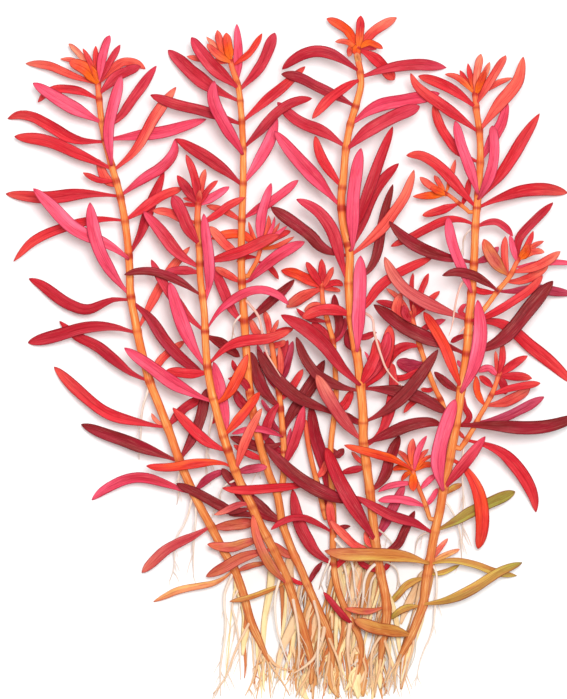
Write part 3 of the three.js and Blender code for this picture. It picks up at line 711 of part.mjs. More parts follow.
// Chooses a leaf's rise so it clears everything laid before it and the table.
function layLeaf(footprint, base, width, wantLift, wantArch, length, stem, ownPart, roll) {
  let best = null;
  const drape = wantLift === FLOOR_CONTACT;
  const targetLift = drape ? FLOOR + LEAF_HALF_THICK - base : wantLift;
  const tilt = Math.abs(Math.sin(roll)) * width / 2;
  for (const dLift of LIFTS) {
    for (const dArch of ARCHES) {
      const lift = targetLift + dLift;
      const arch = wantArch + dArch;
      let cost = (drape ? 2.5 : 1) * Math.abs(dLift) + 1.3 * Math.abs(dArch);
      cost += Math.max(0, Math.abs(lift) + 3 * Math.abs(arch) - 0.9 * length) * 4;
      let lowest = Infinity;
      for (let k = 0; k <= 12; k += 1) lowest = Math.min(lowest, heightAt(base, lift, arch, k / 12));
      if (lowest < FLOOR + LEAF_HALF_THICK - 0.01) continue;
      for (const [key, [s0, s1]] of footprint) {
        const near = grid.get(key);
        if (!near) continue;
        const a = heightAt(base, lift, arch, s0);
        const b = heightAt(base, lift, arch, s1);
        const half = LEAF_HALF_THICK + tilt * widthShare(LEAF_SHAPE, (s0 + s1) / 2);
        const low = Math.min(a, b) - half - CLEARANCE;
        const high = Math.max(a, b) + half + CLEARANCE;
        for (const [otherLow, otherHigh, owner] of near) {
          if (low >= otherHigh || high <= otherLow) continue;
          const home = owner === stem;
          const attached = s0 * length < (ownPart ? 2.0 : 3.2);
          if (home && attached) continue;
          cost += home && !ownPart && owner === stem ? 0.6 : 30;
        }
      }
      if (!best || cost < best.cost) best = { cost, lift, arch };
    }
  }
  return best;
}

const material = (tint) => new THREE.MeshStandardMaterial({ color: TINTS[tint], roughness: 0.55 });

function meshOf(solid, name, tint) {
  const raw = solid.getMesh();
  const geometry = new THREE.BufferGeometry();
  const position = new Float32Array(raw.numVert * 3);
  for (let v = 0; v < raw.numVert; v += 1) {
    position[3 * v] = raw.vertProperties[v * raw.numProp];
    position[3 * v + 1] = raw.vertProperties[v * raw.numProp + 1];
    position[3 * v + 2] = raw.vertProperties[v * raw.numProp + 2];
  }
  geometry.setAttribute('position', new THREE.BufferAttribute(position, 3));
  geometry.setIndex(new THREE.BufferAttribute(new Uint32Array(raw.triVerts), 1));
  geometry.computeVertexNormals();
  const mesh = new THREE.Mesh(geometry, material(tint));
  mesh.name = name;
  return mesh;
}

// Stems first: each side shoot stops a joint gap short of the stem it grows from.
for (const [name, [radius, points]] of Object.entries(STEMS)) {
  let curve = curveThrough(points);
  const parent = GROWS_FROM[name];
  if (parent) {
    const reach = STEMS[parent][0] + JOINT_GAP + 0.75 * radius;
    const kept = [];
    const count = 200;
    for (let k = 0; k <= count; k += 1) {
      const p = curve.getPointAt(k / count);
      const gaps = stations[parent].line.map(([x, y, z]) => Math.hypot(x - p.x, y - p.y, z - p.z));
      if (Math.min(...gaps) < reach) break;
      kept.push([p.x, p.y, p.z]);
    }
    curve = curveThrough(kept.filter((_, k) => k % 12 === 0 || k === kept.length - 1));
  }
  const steps = Math.max(2, Math.round(curve.getLength() / STEM_STEP));
  const bends = curve.getSpacedPoints(steps);
  const line = [];
  for (let k = 0; k < steps; k += 1) {
    const parts = Math.ceil(bends[k].distanceTo(bends[k + 1]) / 0.4);
    for (let part = 0; part < parts; part += 1) {
      const p = bends[k].clone().lerp(bends[k + 1], part / parts);
      line.push([p.x, p.y, p.z]);
    }
  }
  stations[name] = { curve, line, radius };
  occupy(stemCells(line, radius), name);
}

const fusedParts = {};
const leafParts = [];
const strained = [];
let leafCount = 0;

// A root: a three-sided tube from the stem's middle, laid like a very narrow leaf.
function layRoot(stem, width, flat, lift) {
  const points = pairs(flat);
  const root = nearestOnStem(stem, points[0][0], points[0][1]);
  const planPoints = points.map(([x, y]) => [x, y, 0]);
  planPoints[0] = rootedStart(root, points[1]);
  const plan = curveThrough(planPoints);
  const length = plan.getLength();
  const shape = [[0, 1], [1, 1]];
  const footprint = leafFootprint(plan, width, shape);
  const laid = layLeaf(footprint, root.z, width, lift, 0, length, stem, null, 0);
  if (laid.cost > 25) strained.push([`root ${stem} ${flat[0]},${flat[1]}`, Math.round(laid.cost)]);
  const count = Math.max(4, Math.ceil(length / 3));
  const path = [];
  for (let k = 0; k <= count; k += 1) {
    const p = plan.getPointAt(k / count);
    path.push([p.x, p.y, heightAt(root.z, laid.lift, laid.arch, k / count)]);
  }
  const cells = new Map();
  for (const [key, [s0, s1]] of footprint) {
    const a = heightAt(root.z, laid.lift, laid.arch, s0);
    const b = heightAt(root.z, laid.lift, laid.arch, s1);
    cells.set(key, [Math.min(a, b) - width / 2, Math.max(a, b) + width / 2]);
  }
  occupy(cells, stem);
  fusedParts[stem].push(tube(curveThrough(path), width * 0.55, ROOT_SIDES, Math.max(5, length / 3)));
}

for (const stem of Object.keys(LEAVES)) fusedParts[stem] = [];
for (const [stem, rows] of Object.entries(ROOTS)) {
  for (const [width, ...flat] of rows) layRoot(stem, width, flat, FLOOR_CONTACT);
}
for (const [stem, rows] of [...Object.entries(LEAVES), ...Object.entries(INNER_LEAVES)]) {
  for (const [own, tint, width, lift, arch, flat] of rows) {
    leafCount += 1;
    const roll = 0.22 * Math.sin(leafCount * 2.4);
    const points = pairs(flat);
    const root = nearestOnStem(stem, points[0][0], points[0][1]);
    const planPoints = points.map(([x, y]) => [x, y, 0]);
    if (!own) planPoints[0] = rootedStart(root, points[1]);
    let plan = curveThrough(planPoints);
    let base = root.z;
    if (own) {
      const radius = stations[stem].radius;
      const front = arch >= 2 && lift > 0;
      if (front) {
        base = root.z + radius + JOINT_GAP + 0.25;
      } else {
        const reach = radius + JOINT_GAP + 0.12;
        let start = 0;
        while (start < 0.4) {
          const p = plan.getPointAt(start);
          if (nearestOnStem(stem, p.x, p.y).gap > reach) break;
          start += 0.004;
        }
        const trimmed = [];
        for (let k = 0; k <= 8; k += 1) {
          const p = plan.getPointAt(start + (1 - start) * k / 8);
          trimmed.push([p.x, p.y, 0]);
        }
        plan = curveThrough(trimmed);
      }
    }
    const length = plan.getLength();
    const small = !own && length < SMALL_LEAF;
    const largeShape = own ? LEAF_SHAPE : FUSED_LEAF_SHAPE;
    const shape = small ? SMALL_LEAF_SHAPE : largeShape;
    const footprint = leafFootprint(plan, width, shape);
    const laid = layLeaf(footprint, base, width, lift, arch, length, stem, own, roll);
    if (laid.cost > 25) strained.push([own || `${stem} ${leafCount}`, Math.round(laid.cost)]);
    const count = Math.max(4, Math.ceil(length / 3));
    const path = [];
    for (let k = 0; k <= count; k += 1) {
      const s = k / count;
      const p = plan.getPointAt(s);
      path.push([p.x, p.y, heightAt(base, laid.lift, laid.arch, s)]);
    }
    const solid = leafSolid(curveThrough(path), width, shape, roll, own ? 4 : 3);
    const cells = new Map();
    for (const [key, [s0, s1]] of footprint) {
      const a = heightAt(base, laid.lift, laid.arch, s0);
      const b = heightAt(base, laid.lift, laid.arch, s1);
      const half = LEAF_HALF_THICK + Math.abs(Math.sin(roll)) * width / 2 * widthShare(shape, (s0 + s1) / 2);
      cells.set(key, [Math.min(a, b) - half, Math.max(a, b) + half]);
    }
    occupy(cells, own || stem);
    if (own) leafParts.push([own, tint, solid]);
    else fusedParts[stem].push(solid);
  }
}

for (const [stem, width, ...flat] of FRONT_ROOTS) layRoot(stem, width, flat, 1);

const plant = new THREE.Group();
plant.name = 'red_stem_plant';
for (const [name, station] of Object.entries(stations)) {
  const core = tube(station.curve, station.radius, STEM_SIDES, STEM_STEP);
  const whole = Manifold.union([core, ...fusedParts[name]]).simplify(SIMPLIFY);
  const shells = whole.decompose().sort((one, other) => other.volume() - one.volume());
  for (const shell of shells.slice(1)) {
    if (shell.volume() > 0) strained.push([`stem ${name} loose`, shell.volume()]);
  }
  plant.add(meshOf(shells[0], `stem_${name}`, 'stem'));
}
for (const [name, tint, solid] of leafParts) plant.add(meshOf(solid, name, tint));
plant.userData.strained = strained;

// Origin at the centre of the footprint, resting on the table.
const box = new THREE.Box3().setFromObject(plant);
const centre = box.getCenter(new THREE.Vector3());
for (const mesh of plant.children) mesh.geometry.translate(-centre.x, -centre.y, -box.min.z);
plant.userData.shift = [-centre.x, -centre.y, -box.min.z];

export default plant;
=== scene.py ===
import math
import random

import bpy
import numpy as np
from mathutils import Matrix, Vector


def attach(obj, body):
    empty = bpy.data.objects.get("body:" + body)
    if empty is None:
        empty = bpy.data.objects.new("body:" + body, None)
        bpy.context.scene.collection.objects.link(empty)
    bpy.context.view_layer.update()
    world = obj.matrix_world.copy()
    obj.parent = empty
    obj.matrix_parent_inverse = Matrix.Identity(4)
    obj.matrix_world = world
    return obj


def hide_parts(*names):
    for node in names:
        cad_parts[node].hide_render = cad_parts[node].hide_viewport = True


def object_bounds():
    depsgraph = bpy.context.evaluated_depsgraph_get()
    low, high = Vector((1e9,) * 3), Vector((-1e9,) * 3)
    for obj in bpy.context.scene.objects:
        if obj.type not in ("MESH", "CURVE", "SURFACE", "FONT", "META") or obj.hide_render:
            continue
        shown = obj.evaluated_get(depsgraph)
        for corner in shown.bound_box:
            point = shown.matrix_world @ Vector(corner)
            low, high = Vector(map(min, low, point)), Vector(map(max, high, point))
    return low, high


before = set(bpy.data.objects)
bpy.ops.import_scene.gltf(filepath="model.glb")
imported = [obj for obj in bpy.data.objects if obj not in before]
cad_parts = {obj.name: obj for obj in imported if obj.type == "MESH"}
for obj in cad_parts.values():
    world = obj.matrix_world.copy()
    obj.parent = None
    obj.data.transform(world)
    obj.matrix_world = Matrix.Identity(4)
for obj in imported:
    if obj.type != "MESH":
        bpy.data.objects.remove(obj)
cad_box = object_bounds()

# A clump of red stem plant, picked and laid down. The tables below are in millimetres on the plant's own
# drawing, seen from above: +Y to the growing tips, +X to the right. Shapes are those of the solids.
MM = 0.001
UP = (0, 0, 1)
FULL_TURN = 2 * math.pi
# The most by which a wave is shifted at random.
WAVE_SHIFT = 6.28

# How the solids are built, so that the pieces lie where they lie.
JOINT_GAP = 0.3
STEM_STEP = 9.5
STATION_STEP = 0.4
END_STATIONS = 4
ROOTED_DEPTH = 0.35
SMALL_LEAF = 9.5
LEAF_HALF_THICK = 0.4
LEAF_RINGS = [(0.33, 0.86), (0.6, 1.0), (0.85, 0.66)]
FUSED_LEAF_RINGS = [(0.42, 1.0), (0.8, 0.72)]
SMALL_LEAF_RINGS = [(0.58, 1.0)]
CLEAR_ABOVE_STEM = 0.25
CLEAR_BESIDE_STEM = 0.12
LATEST_START = 0.4
START_STEP = 0.004
LEAF_ROLL = 0.22
ROLL_PACE = 2.4
LIFT_POWER = 1.3
PLAN_STEP = 3
FLOOR_CONTACT = -90
# By how much a solid's rise and arch may differ from the table's, nearest first.
LIFTS = [0, 1, -1, 2, -2, 3, -3, 4, -4, 5, -5, 6, -6, 8, -8, 10, -10, 12, -12, 15, -15]
ARCHES = [0, 1, -1, 2, -2, 3.5, -3.5, 5, -5]
# How near a solid's corner is to count as a leaf's tip, beside it and in height, and the ground searched
# round a leaf.
TIP_BESIDE = 0.12
TIP_HEIGHT = 0.2
LEAF_MARGIN = 3

# The thin blades: half thickness, width of the midrib's groove, and where the rounded tip starts and ends.
BLADE_HALF_THICK = 0.16
MIDRIB_WIDTH = 0.13
TIP_START = 0.86
TIP_END = 0.997
# Rows along the blade, rows in the tip, and columns on each side of the midrib.
SMALL_GRID = (9, 5, 4)
LARGE_GRID = (19, 8, 6)
STEM_SIDES = 16
STEM_ROW_STEP = 0.45
THREAD_SIDES = 7
THREAD_ROW_STEP = 0.8

# The view: the height of floor that fills the picture, and the camera's height over it.
VIEW_HEIGHT_MM = 153.78
CAMERA_HEIGHT_M = 2.5
CLUMP_MIDDLE_M = 0.012
SENSOR_MM = 36.0

# Named tints, red green blue as seen on a screen, 0 to 255.
TINTS = {
    "pink": (246, 94, 122),
    "rose": (234, 72, 102),
    "red": (222, 42, 54),
    "scarlet": (230, 58, 46),
    "crimson": (192, 36, 52),
    "cherry": (212, 56, 72),
    "wine": (166, 28, 50),
    "maroon": (134, 30, 34),
    "coral": (240, 94, 78),
    "salmon": (246, 144, 112),
    "orange": (242, 86, 22),
    "amber": (255, 132, 26),
    "terracotta": (206, 96, 78),
    "dusty": (206, 86, 86),
    "mauve": (184, 56, 84),
    "peach": (246, 176, 112),
    "ochre": (202, 134, 58),
    "olive": (212, 168, 80),
    "moss": (158, 152, 62),
    "stem_top": (232, 84, 62),
    "stem_middle": (240, 140, 68),
    "stem_foot": (204, 128, 70),
    "root_pale": (238, 226, 214),
    "root_tan": (228, 184, 140),
    "root_blush": (232, 186, 172),
    "straw": (246, 222, 168),
    "beige": (238, 202, 160),
    "tan": (212, 150, 92),
    "rust": (206, 124, 74),
    "apricot": (246, 172, 124),
    "grey": (216, 208, 198),
}

# For each leaf tint: the wash along the blade, the wash at the tip, and the slot of a leaf of its own.
LEAF_TINTS = {
    "pink": ("rose", "rose", "leaf_pink"),
    "rose": ("crimson", "pink", "leaf_pink"),
    "red": ("crimson", "coral", "leaf_red"),
    "scarlet": ("orange", "red", "leaf_red"),
    "crimson": ("wine", "red", "leaf_red"),
    "cherry": ("crimson", "rose", "leaf_red"),
    "dusty": ("crimson", "salmon", "leaf_red"),
    "wine": ("crimson", "maroon", "leaf_maroon"),
    "maroon": ("wine", "maroon", "leaf_maroon"),
    "mauve": ("wine", "pink", "leaf_maroon"),
    "coral": ("red", "salmon", "leaf_orange"),
    "salmon": ("coral", "salmon", "leaf_orange"),
    "orange": ("scarlet", "coral", "leaf_orange"),
    "peach": ("ochre", "salmon", "leaf_orange"),
    "terracotta": ("ochre", "coral", "leaf_orange"),
    "ochre": ("olive", "terracotta", "leaf_ochre"),
    "olive": ("moss", "moss", "leaf_ochre"),
    "moss": ("olive", "moss", "leaf_ochre"),
}
# Shoots whose growing tips have an amber heart, and how far from the tip their leaves start.
AMBER_HEARTS = {"a": 7.0, "b": 7.0, "c": 6.0, "d": 8.5, "d1": 2.6, "d2": 5.5, "d4": 4.5, "k": 3.0}
HEART_TINTS = ("orange", "coral", "red", "salmon")
HEART_LEAF = 9

# Where the drawing's zero point lies in the part's frame.
SHIFT = (-1.8000, 1.9029, 0.1281)

# Stems: radius, then the centre line's points x y z from the growing tip down to the foot or the joint.
STEMS = {
"a": (0.95, """
-41 60 8  -40.5 54 8.5  -39.7 48 9  -37.7 40 9.5  -36 34 10  -34.6 26 10  -33.9 18 10  -33.7 12.5 10
-32.4 5 10  -31.1 -1 10  -29.3 -7.5 10  -27.5 -12 9.5  -25.2 -18 9  -22.9 -24.5 8.5  -20.2 -30.8 8
-18.3 -34.8 7  -16 -39 6  -13.3 -44.3 5  -10.8 -48.7 4  -9 -53.5 3  -7.2 -60 2  -4.8 -65.5 1.4  -3.2 -69 1.2
"""),
"b": (0.9, """
-12 65 10  -11.3 62 10.5  -10 58 11  -9.3 52 12  -8.9 44 12  -8.9 36 12  -9.2 27 12  -9.3 19.7 12  -9 12 12
-8.6 6 12  -8.2 0 12  -7.7 -7 11.5  -7.1 -11.5 11  -6.3 -16 10.5  -5.3 -20.3 10  -4.3 -24 9  -3 -28 8
-1.4 -31.9 7  -0.8 -35 6.5  -0.3 -38.2 6  0.8 -41.4 5.5  2.2 -45 5  3.8 -48.4 4.5  5.3 -52 4  7.2 -56.3 3.5
9 -60.3 3  10 -63 2.5  10.6 -66.6 1.8  11 -70.3 1.3
"""),
"c": (1.02, """
16.3 67.5 11  16.4 64 11.5  16.8 61.5 12  17 58 12.5  16.3 55 13  14.6 49 13.5  13.6 43 14  13.2 38 14
12.7 33 14  13.2 27 14  14.5 21.5 14  14.4 14.5 14  14.9 7 14  15.6 2 14  16.3 -2 14  17 -8.5 13.5
17.5 -14.5 13  17.6 -20.3 12  18.3 -25.7 11  19 -31 10  19.5 -35.4 9  20.1 -41.3 8  20.8 -46 7  21.4 -49.3 6
22.5 -54.5 5  22.8 -58.5 4  22 -63.5 2.8  21.3 -70 1.3
"""),
"d": (1.0, """
42.2 57.5 10  42.4 53 11  43.1 48 12  43.3 42 12.5  42.9 35 13  42.5 31 13  42.2 27 13  41.9 19.3 13
41.3 11.5 13  40.8 6.3 13  40.3 -1 13  39.1 -8.6 12.5  38.5 -13 12  37.9 -17 11.5  37 -22 11  36 -27 10
35.1 -31.5 9  34.4 -35.8 8  33.4 -40 7  32.2 -47 5.5  31.3 -52 4.5  30.9 -56 3.5  29.5 -60 2.8  28 -63.6 2
26.5 -66.5 1.5  25 -69.3 1.2
"""),
"e": (0.98, """
-18.6 33.2 15  -18.9 29 15.5  -18.5 22.6 16  -18.3 16.2 16  -17.4 8 16  -17.1 1 16  -16.6 -4.7 15.5
-15.7 -9.8 15  -15.1 -12 14.8  -13.8 -17 14  -12.2 -22.2 13  -10.7 -26.4 12  -9.2 -30 11  -7.2 -34 10
-5.3 -38.2 9  -3.3 -42 8  -1.3 -46 7  0.4 -49.6 6  1.5 -53 5  3 -57.5 4  4.3 -61.5 3  5.4 -65.5 2.2
6.2 -70 1.6  6 -74 1.2
"""),
"i": (0.75, """
8.4 15 6.5  8.7 10.5 7  9.8 6 7  10.9 2 7  11.3 -3 7  11.6 -10 7  11.2 -14.5 7  10.5 -20.5 6.5  10.4 -26 6
10.8 -32 5.5  11 -38 5  10.9 -44 4.5  11.2 -49 4  12 -53 3.5  13.3 -56.5 3  15 -60 2.5  16.7 -63.5 2
17.2 -67.5 1.5  16.4 -71.8 1.2
"""),
"s": (0.78, """
4.8 -15.5 5.5  5.3 -20 5.5  6.3 -25 5.3  7.3 -29 5  8.4 -33.5 4.8  9.6 -38.5 4.7  10.6 -42.5 4.6
"""),
"p": (0.86, """
-3.4 4 6.5  -2.5 0.5 6.8  -2 -3 6.8  -1.2 -8 6.5  -0.6 -13 6.2  -0.1 -19 6  0.2 -25 6  -0.2 -29.3 6.4
-0.9 -33 6.6
"""),
"j": (0.75, """
28 8.5 6.5  28.9 5 7  29.8 1.5 7  30.8 -1.5 7  32 -5 7  33.5 -8.8 7.5  34.9 -11.7 8.2  36 -15.5 9.5
36.9 -20.5 10.8
"""),
"k": (0.7, """
-4.8 23.5 8.5  -5.8 19.7 9.3  -7.3 17 10.6  -8.8 14 12
"""),
"d1": (0.6, """
34.4 34.8 10  36.2 34.1 10.5  38.8 32 11.5  40.8 30.2 12.3  42.3 28 13
"""),
"d2": (0.75, """
52.6 21.2 12  51.3 19.2 12.5  49.7 16 13  47.1 12.9 13  45 10 13  42.9 7.4 13  40.9 5 13
"""),
"d3": (0.75, """
47.8 -4.5 10  47 -6.8 10.4  46.1 -9.3 10.8  44.6 -12.2 11  43 -15 11  41.7 -17.5 11  40.2 -20 11
38.5 -22.3 11  36.7 -24.8 10.6
"""),
"d4": (0.7, """
28.3 -25.3 7.2  28.8 -27.8 7.4  29.6 -30 7.6  30.5 -32.2 7.7  31.5 -34.9 7.6  32.3 -37.5 7.2  33.3 -40.5 6.9
"""),
}
# The stem that each side shoot grows from.
GROWS_FROM = {"s": "i", "p": "b", "j": "d", "k": "b", "d1": "d", "d2": "d", "d3": "d", "d4": "d"}

